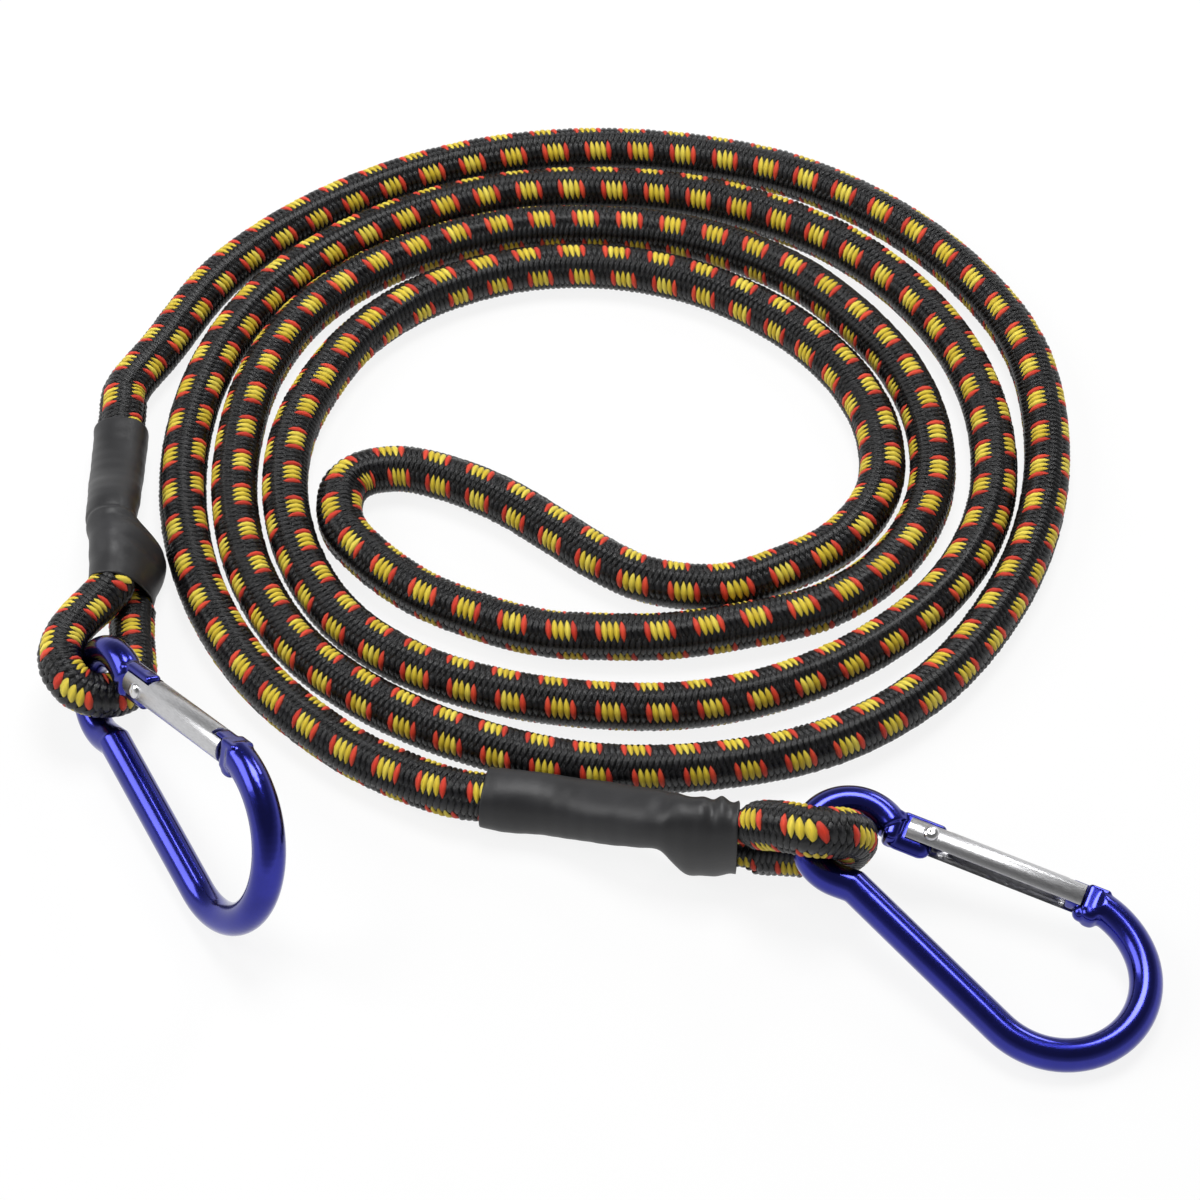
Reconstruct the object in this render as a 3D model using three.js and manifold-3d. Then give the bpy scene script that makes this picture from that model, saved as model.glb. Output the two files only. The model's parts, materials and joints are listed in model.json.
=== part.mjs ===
// Bungee cord: a long elastic cord laid in a flat oval coil, with a snap carabiner tied into each end.
// Millimetres, +Z up. The cord and both carabiners lie on the plane z = 0.
import * as THREE from 'three';
import { mergeVertices } from 'three/addons/utils/BufferGeometryUtils.js';
import Module from 'manifold-3d';

const wasm = await Module();
wasm.setup();

// Clearances
const clearance = 0.3;
const overrun = 2;
const weldDistance = 0.0001;

// Elastic cord: a braided sheath over a rubber core
const cordRadius = 5;
const cordSides = 8;
const boreSides = 6;
const sheathBoreShare = 0.8;
const eyeStepsPerPoint = 2;
const laneHeightShare = 0.94;
const laneHeight = cordRadius * laneHeightShare;

// Squeezed cord under the shrink sleeve and under the crimp band
const squeezedRadius = 4.2;
const crimpedRadius = 3.4;
const crimpLength = 5;
const squeezeReachShare = 0.75;
const mouthReach = 14;
const easeLength = 6;
const crimpReach = 7;

// Shrink sleeve
const sleeveWall = 0.5;
const sleeveSides = 16;
const sleeveMouthInset = 4;
const sleeveAxisHeight = 5.8;
const crimpThickness = 0.6;

// Carabiner, in its own plane: X along the spine from eye to bow, Y towards the gate, Z out of the plane
const rodRadius = 3.25;
const rodSides = 12;
const eyeRadius = 8.8;
const eyeCentreY = 6.3;
const eyeStartAngle = 70;
const eyeEndAngle = 297;
const spineStart = 6.2;
const neckLength = 3.6;
const bowX = 46;
const bowRadius = 16.4;
const bowEndAngle = 64;
const noseRise = 1.5;
const noseReach = 3;

// Gate: a folded sheet channel, open towards the spine, from its near end to its far end
const gateNear = new THREE.Vector2(5.3, 16.1);
const gateFar = new THREE.Vector2(37.7, 31.2);
const gateHalfHeight = 2.8;
const gateHalfWidth = 3;
const gateSheet = 0.8;
const gateNotchFar = 3.7;
const springStopAt = 26.3;
const springStopThickness = 0.8;

// Hinge block and nose, which hold the gate between them
const tongueHalfThickness = gateHalfHeight - gateSheet - clearance;
const blockHalfWidth = 3.9;
const blockHalfThickness = 2.9;
const blockLength = 3;
const blockEdge = 0.6;
const shoulderGap = 1.1;
const tongueEndRadius = 3.2;
const tongueFromAngle = -60;
const tongueToAngle = 42;
const rivetAt = 4.5;
const noseGap = 0.4;
const noseLength = 4.6;
const noseInnerWidth = 4.6;
const noseCorner = 1.2;
const noseOuterWidth = 3.1;
const noseTongueWidth = 2.4;

// Rivet
const rivetRadius = 1;
const rivetHeadRadius = 1.5;
const rivetHeadHeight = 0.6;
const rivetSides = 16;
const rivetCrownShare = 0.6;

// Closing spring and its plunger
const springRadius = 1.2;
const springWireRadius = 0.25;
const springCurls = 8;
const stepsPerCurl = 8;
const springWireSides = 5;
const plungerHeadRadius = 1.3;
const plungerHeadLength = 2.2;
const plungerFlatShare = 0.7;
const plungerDomeShare = 0.3;
const plungerStemRadius = 0.65;
const plungerStemLength = 7.5;

// Where each carabiner lies: its own origin, and its turns in degrees about X, Y and Z
const rightPlace = new THREE.Vector3(43.7, -75.7, 12.4);
const rightTurns = [9.1, 3.6, -47.4];
const leftPlace = new THREE.Vector3(-99.2, -35.2, 5.7);
const leftTurns = [49.4, -53.6, -37.9];

// The coil's lanes about one centre: distances from it every 15 degrees, from the first angle on. A lane that
// turns by 1 runs anticlockwise from above.
const coilCentre = new THREE.Vector2(-2, 42);
const laneStep = 15;
const outerLane = {
  from: 165,
  turn: -1,
  radii: [95.7, 93.4, 90.3, 88, 86.8, 86.5, 87.6, 90.2, 92.3, 94.6, 96.7, 96.4, 96.3, 96.4, 96.9, 95.4, 91.8,
    88.8, 85.9],
};
const thirdLane = {
  from: 240,
  turn: -1,
  radii: [84.3, 83, 80, 76.7, 74, 72.6, 70.9, 68.1, 65.2, 63.3, 61.9, 62.2, 63.2, 64.8, 66.4, 69.2, 71.6, 73,
    71.6, 67.4, 61, 57.5, 55.5],
};
const innerLane = {
  from: -45,
  turn: 1,
  radii: [54.3, 59.8, 62.3, 60.8, 57.6, 54.3, 51.7, 50.3, 49.6, 49.8, 50.8, 52.4, 54.7, 57.1, 59.4, 62.8, 66,
    69.1, 71.8, 72.5],
};
const secondLane = {
  from: -105,
  turn: 1,
  radii: [72.3, 73.2, 75.9, 78.8, 81.7, 84.6, 85.8, 84.7, 83, 80.8, 78.7, 76.3, 74.7, 73.9, 74.7, 76.2, 78.8,
    81.7, 83.3, 85, 87.5, 90.8, 94.2, 97.1],
};
// Where the cord doubles back in the middle of the coil
const foldPoints = [
  [-9.5, -13], [-18.5, -10.7], [-27.5, -7], [-37, -1.9], [-46, 5.9], [-52.8, 14.6],
  [-54.3, 21.6], [-53.2, 27.2], [-50, 30.4], [-45.4, 31.8], [-40, 31.8], [-30, 28.5], [-20, 23],
  [-10, 15.2], [0, 7.1],
  [9.9, 1.4], [25, -0.5],
];
// Both ends of the coil, inside the sleeves
const leftCoilEnd = [[-101.2, 42, sleeveAxisHeight], [-101.2, 47.5, 5.8], [-101.1, 53, 5.5]];
const rightCoilEnd = [
  [-38.5, -49.5, 5], [-29, -54, 5.7], [-24, -55.1, 5.8], [-18.6, -55.9, sleeveAxisHeight],
];

// The eye at each end: out of the sleeve, through the carabiner's eye and back into the sleeve
const leftEyePoints = [
  [-101.2, 41.7, sleeveAxisHeight], [-101, 32, 5.8], [-100.5, 23, 8.6], [-99.6, 13, 12.6], [-98.8, 3, 13.4],
  [-98.2, -6.5, 13.7], [-101.8, -10.6, 13.7], [-105.4, -15, 14.3], [-108.1, -20.5, 15],
  [-109.1, -26.2, 15.5], [-108, -30.5, 15.4], [-105.9, -33.2, 14.9], [-103.1, -34.8, 14],
  [-99.9, -35.2, 12.8], [-96.9, -34.3, 11.5], [-94.6, -32.2, 10.3], [-93.2, -29.2, 9.3], [-93, -25.9, 8.7],
  [-93.6, -22, 8], [-94.4, -16, 6.8], [-95.1, -9.5, 5.4], [-95.3, -4.5, 5], [-95.3, 3, 5], [-95.2, 12.6, 5],
];
const rightEyePoints = [
  [-18.3, -55.95, sleeveAxisHeight], [-8.5, -57.5, 5.8], [3, -62, 9.1], [12, -66.2, 12.9],
  [17, -67.6, 13.5], [23, -68.1, 13.6],
  [27.3, -69.1, 14.7], [30.2, -70.6, 17.2], [33.3, -72.3, 19.4], [36.8, -74.2, 21.1], [40.4, -75.6, 21.8],
  [43.8, -75.1, 20.9], [46.6, -73.9, 18.9], [48.2, -72.5, 16.1], [48.3, -71.4, 12.8], [47.4, -70.4, 9.5],
  [45.3, -69.4, 6.9], [42.3, -68.4, 5.3], [39, -67.8, 4.8], [33, -67.4, 4.8], [27, -67.4, 5],
  [20, -67.4, 5], [14.5, -67.4, 5],
];

// Sleeve sections, as [along, across, height, half width, half height, lean in degrees]
const leftSleeveStations = [
  [46, -101.2, 5.8, 6, 6, 0],
  [33, -101, 5.8, 6, 6, 0],
  [24, -100.6, 8.2, 5.9, 6, 0],
  [16.5, -99.9, 11.2, 5.6, 5.8, 0],
  [14.6, -97.5, 9, 5.4, 9.7, -25],
  [3, -97.1, 9.2, 5.6, 10, -22],
  [-6, -96.8, 9.4, 5.6, 10, -18],
];
const rightSleeveStations = [
  [-22.5, -55.3, 5.8, 6, 6, 0],
  [-9, -57.4, 5.8, 6, 6, 0],
  [3, -62, 9.2, 5.9, 6, 0],
  [10.5, -65.3, 12, 5.6, 5.8, 0],
  [12.6, -67, 9.3, 5.4, 9.7, 4],
  [20, -67.7, 9.3, 5.6, 9.9, 4],
  [26.5, -68.2, 9.7, 5.7, 10.3, 9],
];
const leftCrimpAt = 3;
const rightCrimpAt = 20;
const lumpStation = 4;

// Materials
const sheathMaterial = new THREE.MeshStandardMaterial({ color: 0x1b1a1c, roughness: 0.6, metalness: 0 });
const rubberMaterial = new THREE.MeshStandardMaterial({ color: 0xd8cfa8, roughness: 0.8, metalness: 0 });
const sleeveMaterial = new THREE.MeshStandardMaterial({ color: 0x2e2e31, roughness: 0.5, metalness: 0 });
const bodyMaterial = new THREE.MeshStandardMaterial({ color: 0x1c1a8c, roughness: 0.2, metalness: 0.8 });
const gateMaterial = new THREE.MeshStandardMaterial({ color: 0xb8b8bc, roughness: 0.3, metalness: 0.9 });
const steelMaterial = new THREE.MeshStandardMaterial({ color: 0xd0d0d4, roughness: 0.25, metalness: 1 });

// Solid helpers
const radians = THREE.MathUtils.degToRad;

function toManifold(geometry) {
  const plain = geometry.clone();
  plain.deleteAttribute('normal');
  plain.deleteAttribute('uv');
  const merged = mergeVertices(plain.index ? plain.toNonIndexed() : plain, weldDistance);
  const vertProperties = new Float32Array(merged.attributes.position.array);
  const triVerts = new Uint32Array(merged.index.array);
  return new wasm.Manifold(new wasm.Mesh({ numProp: 3, vertProperties, triVerts }));
}

function toGeometry(manifold) {
  const mesh = manifold.getMesh();
  const geometry = new THREE.BufferGeometry();
  const positions = new Float32Array(mesh.numVert * 3);
  for (let i = 0; i < mesh.numVert; i += 1) {
    positions.set(mesh.vertProperties.subarray(i * mesh.numProp, i * mesh.numProp + 3), i * 3);
  }
  geometry.setAttribute('position', new THREE.BufferAttribute(positions, 3));
  geometry.setIndex(new THREE.BufferAttribute(new Uint32Array(mesh.triVerts), 1));
  geometry.computeVertexNormals();
  return geometry;
}

function join(geometries) {
  return toGeometry(geometries.map(toManifold).reduce((sum, next) => sum.add(next)));
}

function cut(geometry, tools) {
  return toGeometry(tools.map(toManifold).reduce((rest, tool) => rest.subtract(tool), toManifold(geometry)));
}

function polygon(radius, sides) {
  return Array.from({ length: sides }, (_, i) => {
    const angle = (2 * i + 1) * Math.PI / sides;
    return new THREE.Vector2(radius * Math.cos(angle), radius * Math.sin(angle));
  });
}

function curveThrough(points, divisions) {
  const curve = new THREE.CatmullRomCurve3(points.map((p) => new THREE.Vector3(...p)));
  curve.arcLengthDivisions = divisions;
  return curve;
}

// The same curve with its steps counted from point to point, so that they are short where it bends
class PointedCurve extends THREE.Curve {
  constructor(points) {
    super();
    this.inner = curveThrough(points, 1);
    this.spans = points.length - 1;
  }

  getPointAt(share) {
    return this.inner.getPoint(share);
  }

  getTangentAt(share) {
    return this.inner.getTangent(share);
  }
}

// A closed body whose section follows a curve. The section is a unit outline, with a bore if one is given,
// and radiusAt gives its size at each place.
function sweep(curve, steps, radiusAt, outer, bore = []) {
  const frames = curve.computeFrenetFrames(steps, false);
  const places = curve.getSpacedPoints(steps);
  const corners = [...outer, ...bore];
  const positions = [];
  places.forEach((place, i) => {
    const radius = radiusAt(place);
    for (const corner of corners) {
      const point = place.clone();
      point.addScaledVector(frames.normals[i], corner.x * radius);
      point.addScaledVector(frames.binormals[i], corner.y * radius);
      positions.push(point.x, point.y, point.z);
    }
  });
  const index = [];
  const wall = (first, count, outward) => {
    for (let i = 0; i < steps; i += 1) {
      for (let j = 0; j < count; j += 1) {
        const a = i * corners.length + first + j;
        const b = i * corners.length + first + (j + 1) % count;
        const c = b + corners.length;
        const d = a + corners.length;
        if (outward) index.push(a, b, c, a, c, d);
        else index.push(a, c, b, a, d, c);
      }
    }
  };
  wall(0, outer.length, true);
  if (bore.length > 0) wall(outer.length, bore.length, false);
  const last = steps * corners.length;
  for (const [a, b, c] of THREE.ShapeUtils.triangulateShape(outer, bore.length > 0 ? [bore] : [])) {
    const [p, q, r] = [corners[a], corners[b], corners[c]];
    const turn = (q.x - p.x) * (r.y - p.y) - (q.y - p.y) * (r.x - p.x);
    const face = turn > 0 ? [a, b, c] : [a, c, b];
    index.push(last + face[0], last + face[1], last + face[2]);
    index.push(face[0], face[2], face[1]);
  }
  const geometry = new THREE.BufferGeometry();
  geometry.setAttribute('position', new THREE.Float32BufferAttribute(positions, 3));
  geometry.setIndex(index);
  geometry.computeVertexNormals();
  return geometry;
}

// A closed body through rings of points, each ring with the same number of them
function loft(rings) {
  const count = rings[0].length;
  const positions = rings.flat().flatMap((p) => [p.x, p.y, p.z]);
  const index = [];
  for (let i = 0; i < rings.length - 1; i += 1) {
    for (let j = 0; j < count; j += 1) {
      const a = i * count + j;
      const b = i * count + (j + 1) % count;
      index.push(a, b, b + count, a, b + count, a + count);
    }
  }
  const last = (rings.length - 1) * count;
  for (let j = 1; j < count - 1; j += 1) {
    index.push(0, j + 1, j);
    index.push(last, last + j, last + j + 1);
  }
  const [p, q, r] = [rings[0][0], rings[0][1], rings[0][2]];
  const normal = q.clone().sub(p).cross(r.clone().sub(q));
  if (normal.dot(rings[1][0].clone().sub(p)) < 0) index.reverse();
  const geometry = new THREE.BufferGeometry();
  geometry.setAttribute('position', new THREE.Float32BufferAttribute(positions, 3));
  geometry.setIndex(index);
  geometry.computeVertexNormals();
  return geometry;
}

// Cord: the coil's own route, with one tube through all its turns
function lanePoints(lane) {
  return lane.radii.map((radius, i) => {
    const angle = radians(lane.from + lane.turn * i * laneStep);
    return [coilCentre.x + radius * Math.cos(angle), coilCentre.y + radius * Math.sin(angle), laneHeight];
  });
}

const coilPoints = [
  ...leftCoilEnd,
  ...lanePoints(outerLane),
  ...lanePoints(thirdLane),
  ...foldPoints.map(([x, y]) => [x, y, laneHeight]),
  ...lanePoints(innerLane),
  ...lanePoints(secondLane),
  ...rightCoilEnd,
];
const coilRoute = new PointedCurve(coilPoints);

function leastGap(curve, radius) {
  const count = Math.round(curve.getLength() / (radius / 4));
  const points = curve.getSpacedPoints(count);
  const apart = Math.ceil(count * 8 * radius / curve.getLength());
  let least = Infinity;
  for (let i = 0; i < points.length; i += 1) {
    for (let j = i + apart; j < points.length; j += 1) {
      least = Math.min(least, points[i].distanceTo(points[j]));
    }
  }
  return least - 2 * radius;
}

const unitOutline = polygon(1, cordSides);
const unitBore = polygon(sheathBoreShare, boreSides);
const coreShare = sheathBoreShare - clearance / (cordRadius * Math.cos(Math.PI / boreSides));
const unitCore = polygon(coreShare, boreSides);

function coilSheath() {
  return sweep(coilRoute, coilRoute.spans, () => cordRadius, unitOutline, unitBore);
}

function coilCore() {
  return sweep(coilRoute, coilRoute.spans, () => cordRadius, unitCore);
}

// The cord is thinner inside a sleeve, and thinnest under the crimp band
function squeezeNear(axis, crimpAt, heading, squeezeReach) {
  return (point) => {
    const along = heading * (point[axis] - crimpAt);
    const distance = Math.abs(along);
    const reach = along > 0 ? mouthReach : squeezeReach;
    const eased = THREE.MathUtils.smoothstep(distance, crimpReach - crimpLength / 4, 2 * crimpReach);
    const freed = THREE.MathUtils.smoothstep(distance, reach - easeLength, reach);
    const inside = THREE.MathUtils.lerp(crimpedRadius, squeezedRadius, eased);
    return THREE.MathUtils.lerp(inside, cordRadius, freed);
  };
}

// Sleeve: sections across the cord, a bore for the cord and a chamber for the crimped pair
function sleeveRing(station, axis, inset, shift = 0) {
  const [along, across, height, halfWidth, halfHeight, lean] = station;
  const tilt = radians(lean);
  const power = 1 + halfHeight / halfWidth;
  const rounded = (value) => Math.sign(value) * Math.abs(value) ** (2 / power);
  return Array.from({ length: sleeveSides }, (_, i) => {
    const angle = 2 * Math.PI * i / sleeveSides;
    const side = (halfWidth - inset) * rounded(Math.cos(angle));
    const up = (halfHeight - inset) * rounded(Math.sin(angle));
    const sideways = side * Math.cos(tilt) - up * Math.sin(tilt);
    const upwards = side * Math.sin(tilt) + up * Math.cos(tilt);
    if (axis === 'y') return new THREE.Vector3(across - sideways, along + shift, height + upwards);
    return new THREE.Vector3(along + shift, across + sideways, height + upwards);
  });
}

function sleeve(stations, axis, runs, squeeze) {
  const heading = Math.sign(stations.at(-1)[0] - stations[0][0]);
  const outer = loft(stations.map((s) => sleeveRing(s, axis, 0)));
  const chamberStations = stations.slice(lumpStation);
  const chamberRings = chamberStations.map((s, i) => {
    const shift = i === chamberStations.length - 1 ? heading * overrun : 0;
    return sleeveRing(s, axis, sleeveWall + (i === 0 ? sleeveWall : 0), shift);
  });
  const chamber = loft(chamberRings);
  const boreRadius = (place) => (squeeze(place) + clearance) / Math.cos(Math.PI / rodSides);
  const bores = runs.map((points) => {
    const run = new PointedCurve(points);
    return sweep(run, eyeStepsPerPoint * run.spans, boreRadius, polygon(1, rodSides));
  });
  const [alongFloor, acrossFloor] = stations[0];
  const floorSpan = 4 * Math.abs(stations.at(-1)[0] - alongFloor);
  const floor = new THREE.BoxGeometry(floorSpan, floorSpan, cordRadius);
  const centre = axis === 'y' ? [acrossFloor, alongFloor] : [alongFloor, acrossFloor];
  floor.translate(centre[0], centre[1], -cordRadius / 2);
  return cut(outer, [chamber, ...bores, floor]);
}

// Crimp band: a flat strip closed round both cords
function crimpBand(mainPlace, tailPlace, axis) {
  const apart = mainPlace.distanceTo(tailPlace);
  const stadium = (radius) => {
    const shape = new THREE.Shape();
    shape.absarc(0, apart / 2, radius, 0, Math.PI, false);
    shape.absarc(0, -apart / 2, radius, Math.PI, 2 * Math.PI, false);
    shape.closePath();
    return shape;
  };
  const outline = stadium(crimpedRadius + clearance + crimpThickness);
  outline.holes.push(new THREE.Path(stadium(crimpedRadius + clearance).getPoints(rodSides)));
  const geometry = new THREE.ExtrudeGeometry(outline, {
    depth: crimpLength,
    bevelEnabled: false,
    curveSegments: rodSides,
  });
  geometry.translate(0, 0, -crimpLength / 2);
  const long = mainPlace.clone().sub(tailPlace).normalize();
  const through = axis === 'y' ? new THREE.Vector3(0, 1, 0) : new THREE.Vector3(1, 0, 0);
  const side = new THREE.Vector3().crossVectors(long, through).normalize();
  const depth = new THREE.Vector3().crossVectors(side, long);
  geometry.applyMatrix4(new THREE.Matrix4().makeBasis(side, long, depth));
  const middle = mainPlace.clone().add(tailPlace).multiplyScalar(0.5);
  geometry.translate(middle.x, middle.y, middle.z);
  return geometry;
}

// Carabiner body
const gateLine = gateFar.clone().sub(gateNear);
const gateLength = gateLine.length();
const gateAngle = gateLine.angle();

function alongGate(geometry) {
  geometry.rotateZ(gateAngle);
  geometry.translate(gateNear.x, gateNear.y, 0);
  return geometry;
}

function gatePoint(along, across) {
  return new THREE.Vector2(along, across).rotateAround(new THREE.Vector2(), gateAngle).add(gateNear);
}

function plate(points, halfThickness, edge) {
  const shape = new THREE.Shape(points.map(([x, y]) => new THREE.Vector2(x, y)));
  const geometry = new THREE.ExtrudeGeometry(shape, {
    depth: 2 * (halfThickness - edge),
    bevelEnabled: edge > 0,
    bevelThickness: edge,
    bevelSize: edge,
    bevelOffset: -edge,
    bevelSegments: 2,
  });
  geometry.translate(0, 0, edge - halfThickness);
  return geometry;
}

function arcPoints(centreX, centreY, radius, from, to, count) {
  return Array.from({ length: count + 1 }, (_, i) => {
    const angle = radians(THREE.MathUtils.lerp(from, to, i / count));
    return [centreX + radius * Math.cos(angle), centreY + radius * Math.sin(angle), 0];
  });
}

function rod(points, steps) {
  return sweep(curveThrough(points, 400), steps, () => rodRadius, polygon(1, rodSides));
}

function hingeBlock() {
  const back = -shoulderGap - blockLength;
  return alongGate(plate([
    [back, -blockHalfWidth], [-shoulderGap, -blockHalfWidth], [-shoulderGap, blockHalfWidth],
    [back, blockHalfWidth],
  ], blockHalfThickness, blockEdge));
}

function hingeTongue() {
  const end = arcPoints(rivetAt, 0, tongueEndRadius, tongueFromAngle, tongueToAngle, 8)
    .map(([x, y]) => [x, y]);
  return alongGate(plate([
    [-shoulderGap - blockLength / 2, -blockHalfWidth],
    [rivetAt + tongueEndRadius / 2, -blockHalfWidth],
    ...end,
    [rivetAt + tongueEndRadius / 2, blockHalfWidth],
    [-shoulderGap - blockLength / 2, blockHalfWidth],
  ], tongueHalfThickness, 0));
}

function nose() {
  const face = gateLength + noseGap;
  const block = alongGate(plate([
    [face, noseCorner - noseInnerWidth], [face + noseCorner, -noseInnerWidth],
    [face + noseLength / 2, -noseInnerWidth], [face + noseLength, -blockHalfThickness],
    [face + noseLength, noseOuterWidth], [face, noseOuterWidth],
  ], blockHalfThickness, blockEdge));
  const tip = gateLength - gateNotchFar + 2 * clearance;
  const tongue = alongGate(plate([
    [tip, -noseTongueWidth], [face + noseGap, -noseTongueWidth], [face + noseGap, noseOuterWidth],
    [tip, noseOuterWidth],
  ], tongueHalfThickness, 0));
  return [block, tongue];
}

function rivetHole() {
  const reach = gateHalfHeight + overrun;
  const hole = new THREE.CylinderGeometry(rivetRadius + clearance, rivetRadius + clearance, 2 * reach,
    rivetSides);
  hole.rotateX(Math.PI / 2);
  hole.translate(rivetAt, 0, 0);
  return alongGate(hole);
}

function carabinerBody() {
  const eye = arcPoints(0, eyeCentreY, eyeRadius, eyeStartAngle, eyeEndAngle, 14);
  const heading = radians(eyeEndAngle + 90);
  const [endX, endY] = eye.at(-1);
  const neck = [endX + neckLength * Math.cos(heading), endY + neckLength * Math.sin(heading), 0];
  const ring = rod([...eye, neck], 18);
  const noseEnd = gatePoint(gateLength + noseReach, 0);
  const bowEnd = arcPoints(bowX, bowRadius, bowRadius, bowEndAngle, bowEndAngle, 1)[0];
  const spine = rod([
    [spineStart, 0, 0], [bowX / 3, 0, 0], [bowX / 2, 0, 0], [3 * bowX / 4, 0, 0],
    ...arcPoints(bowX, bowRadius, bowRadius, -90, bowEndAngle, 8),
    [(noseEnd.x + bowEnd[0]) / 2, bowEnd[1] + noseRise, 0],
    [noseEnd.x, noseEnd.y, 0],
  ], 40);
  return cut(join([ring, spine, hingeBlock(), hingeTongue(), ...nose()]), [rivetHole()]);
}

// Gate channel with its web cut away at both ends, and a stop for the spring
function gateChannel() {
  const centre = gateHalfWidth - gateHalfHeight;
  const inner = gateHalfHeight - gateSheet;
  const shape = new THREE.Shape();
  shape.moveTo(-gateHalfWidth, -gateHalfHeight);
  shape.lineTo(centre, -gateHalfHeight);
  shape.absarc(centre, 0, gateHalfHeight, -Math.PI / 2, Math.PI / 2, false);
  shape.lineTo(-gateHalfWidth, gateHalfHeight);
  shape.lineTo(-gateHalfWidth, inner);
  shape.lineTo(centre, inner);
  shape.absarc(centre, 0, inner, Math.PI / 2, -Math.PI / 2, true);
  shape.lineTo(-gateHalfWidth, -inner);
  shape.closePath();
  const channel = new THREE.ExtrudeGeometry(shape, {
    depth: gateLength,
    bevelEnabled: false,
    curveSegments: 8,
  });
  const [alongX, alongY, alongZ] = [new THREE.Vector3(1, 0, 0), new THREE.Vector3(0, 1, 0),
    new THREE.Vector3(0, 0, 1)];
  channel.applyMatrix4(new THREE.Matrix4().makeBasis(alongY, alongZ, alongX));
  const notch = (from, to) => {
    const box = new THREE.BoxGeometry(to - from, 4 * gateHalfWidth, 2 * inner);
    box.translate((from + to) / 2, 0, 0);
    return alongGate(box);
  };
  const stop = new THREE.BoxGeometry(springStopThickness, 2 * springRadius, 2 * inner + gateSheet);
  stop.translate(springStopAt + springStopThickness / 2, centre, 0);
  return cut(join([alongGate(channel), alongGate(stop)]), [
    notch(-overrun, rivetAt + tongueEndRadius + clearance),
    notch(gateLength - gateNotchFar, gateLength + overrun),
    rivetHole(),
  ]);
}

function rivet() {
  const seat = gateHalfHeight + clearance;
  const crown = seat + rivetHeadHeight;
  const profile = [
    [0, -crown], [rivetCrownShare * rivetHeadRadius, -crown], [rivetHeadRadius, -seat - rivetHeadHeight / 3],
    [rivetHeadRadius, -seat], [rivetRadius, -seat], [rivetRadius, seat], [rivetHeadRadius, seat],
    [rivetHeadRadius, seat + rivetHeadHeight / 3], [rivetCrownShare * rivetHeadRadius, crown], [0, crown],
  ].map(([x, y]) => new THREE.Vector2(x, y));
  const geometry = new THREE.LatheGeometry(profile, rivetSides);
  geometry.rotateX(Math.PI / 2);
  geometry.translate(rivetAt, 0, 0);
  return alongGate(geometry);
}

function plunger() {
  const tip = rivetAt + tongueEndRadius + clearance;
  const dome = plungerDomeShare * plungerHeadRadius;
  const profile = [
    [0, 0], [plungerFlatShare * plungerHeadRadius, 0], [plungerHeadRadius, dome],
    [plungerHeadRadius, plungerHeadLength],
    [plungerStemRadius, plungerHeadLength], [plungerStemRadius, plungerHeadLength + plungerStemLength],
    [0, plungerHeadLength + plungerStemLength],
  ].map(([x, y]) => new THREE.Vector2(x, y));
  const geometry = new THREE.LatheGeometry(profile, rodSides);
  geometry.rotateZ(-Math.PI / 2);
  geometry.translate(tip, gateHalfWidth - gateHalfHeight, 0);
  return alongGate(geometry);
}

function spring() {
  const start = rivetAt + tongueEndRadius + 2 * clearance + plungerHeadLength + springWireRadius;
  const end = springStopAt - clearance - springWireRadius;
  const steps = springCurls * stepsPerCurl;
  const points = Array.from({ length: steps + 1 }, (_, i) => {
    const angle = 2 * Math.PI * i / stepsPerCurl;
    const along = THREE.MathUtils.lerp(start, end, i / steps);
    const across = gateHalfWidth - gateHalfHeight + springRadius * Math.cos(angle);
    return [along, across, springRadius * Math.sin(angle)];
  });
  const wire = curveThrough(points, steps * 10);
  return alongGate(sweep(wire, steps, () => springWireRadius, polygon(1, springWireSides)));
}

// Assembly: everything lies in one group, which is set with its hardware's footprint over the origin
const bungee = new THREE.Group();
const laid = new THREE.Group();
bungee.add(laid);

function add(parent, name, geometry, material) {
  const mesh = new THREE.Mesh(geometry, material);
  mesh.name = name;
  parent.add(mesh);
  return mesh;
}

function addCarabiner(side, place, turns) {
  const carabiner = new THREE.Group();
  carabiner.position.copy(place);
  carabiner.rotation.set(...turns.map(radians), 'XYZ');
  add(carabiner, `carabiner_body_${side}`, carabinerBody(), bodyMaterial);
  add(carabiner, `gate_rivet_${side}`, rivet(), steelMaterial);
  add(carabiner, `gate_${side}`, gateChannel(), gateMaterial);
  add(carabiner, `gate_spring_${side}`, spring(), steelMaterial);
  add(carabiner, `spring_plunger_${side}`, plunger(), steelMaterial);
  laid.add(carabiner);
}

function crossing(points, axis, at) {
  const k = axis === 'y' ? 1 : 0;
  const i = points.findIndex((p, n) => n > 0 && (p[k] - at) * (points[n - 1][k] - at) <= 0);
  const share = (at - points[i - 1][k]) / (points[i][k] - points[i - 1][k]);
  return new THREE.Vector3(...points[i - 1]).lerp(new THREE.Vector3(...points[i]), share);
}

function beyond(from, to, distance) {
  const start = new THREE.Vector3(...from);
  const end = new THREE.Vector3(...to);
  return end.clone().addScaledVector(end.clone().sub(start).normalize(), distance).toArray();
}

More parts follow.
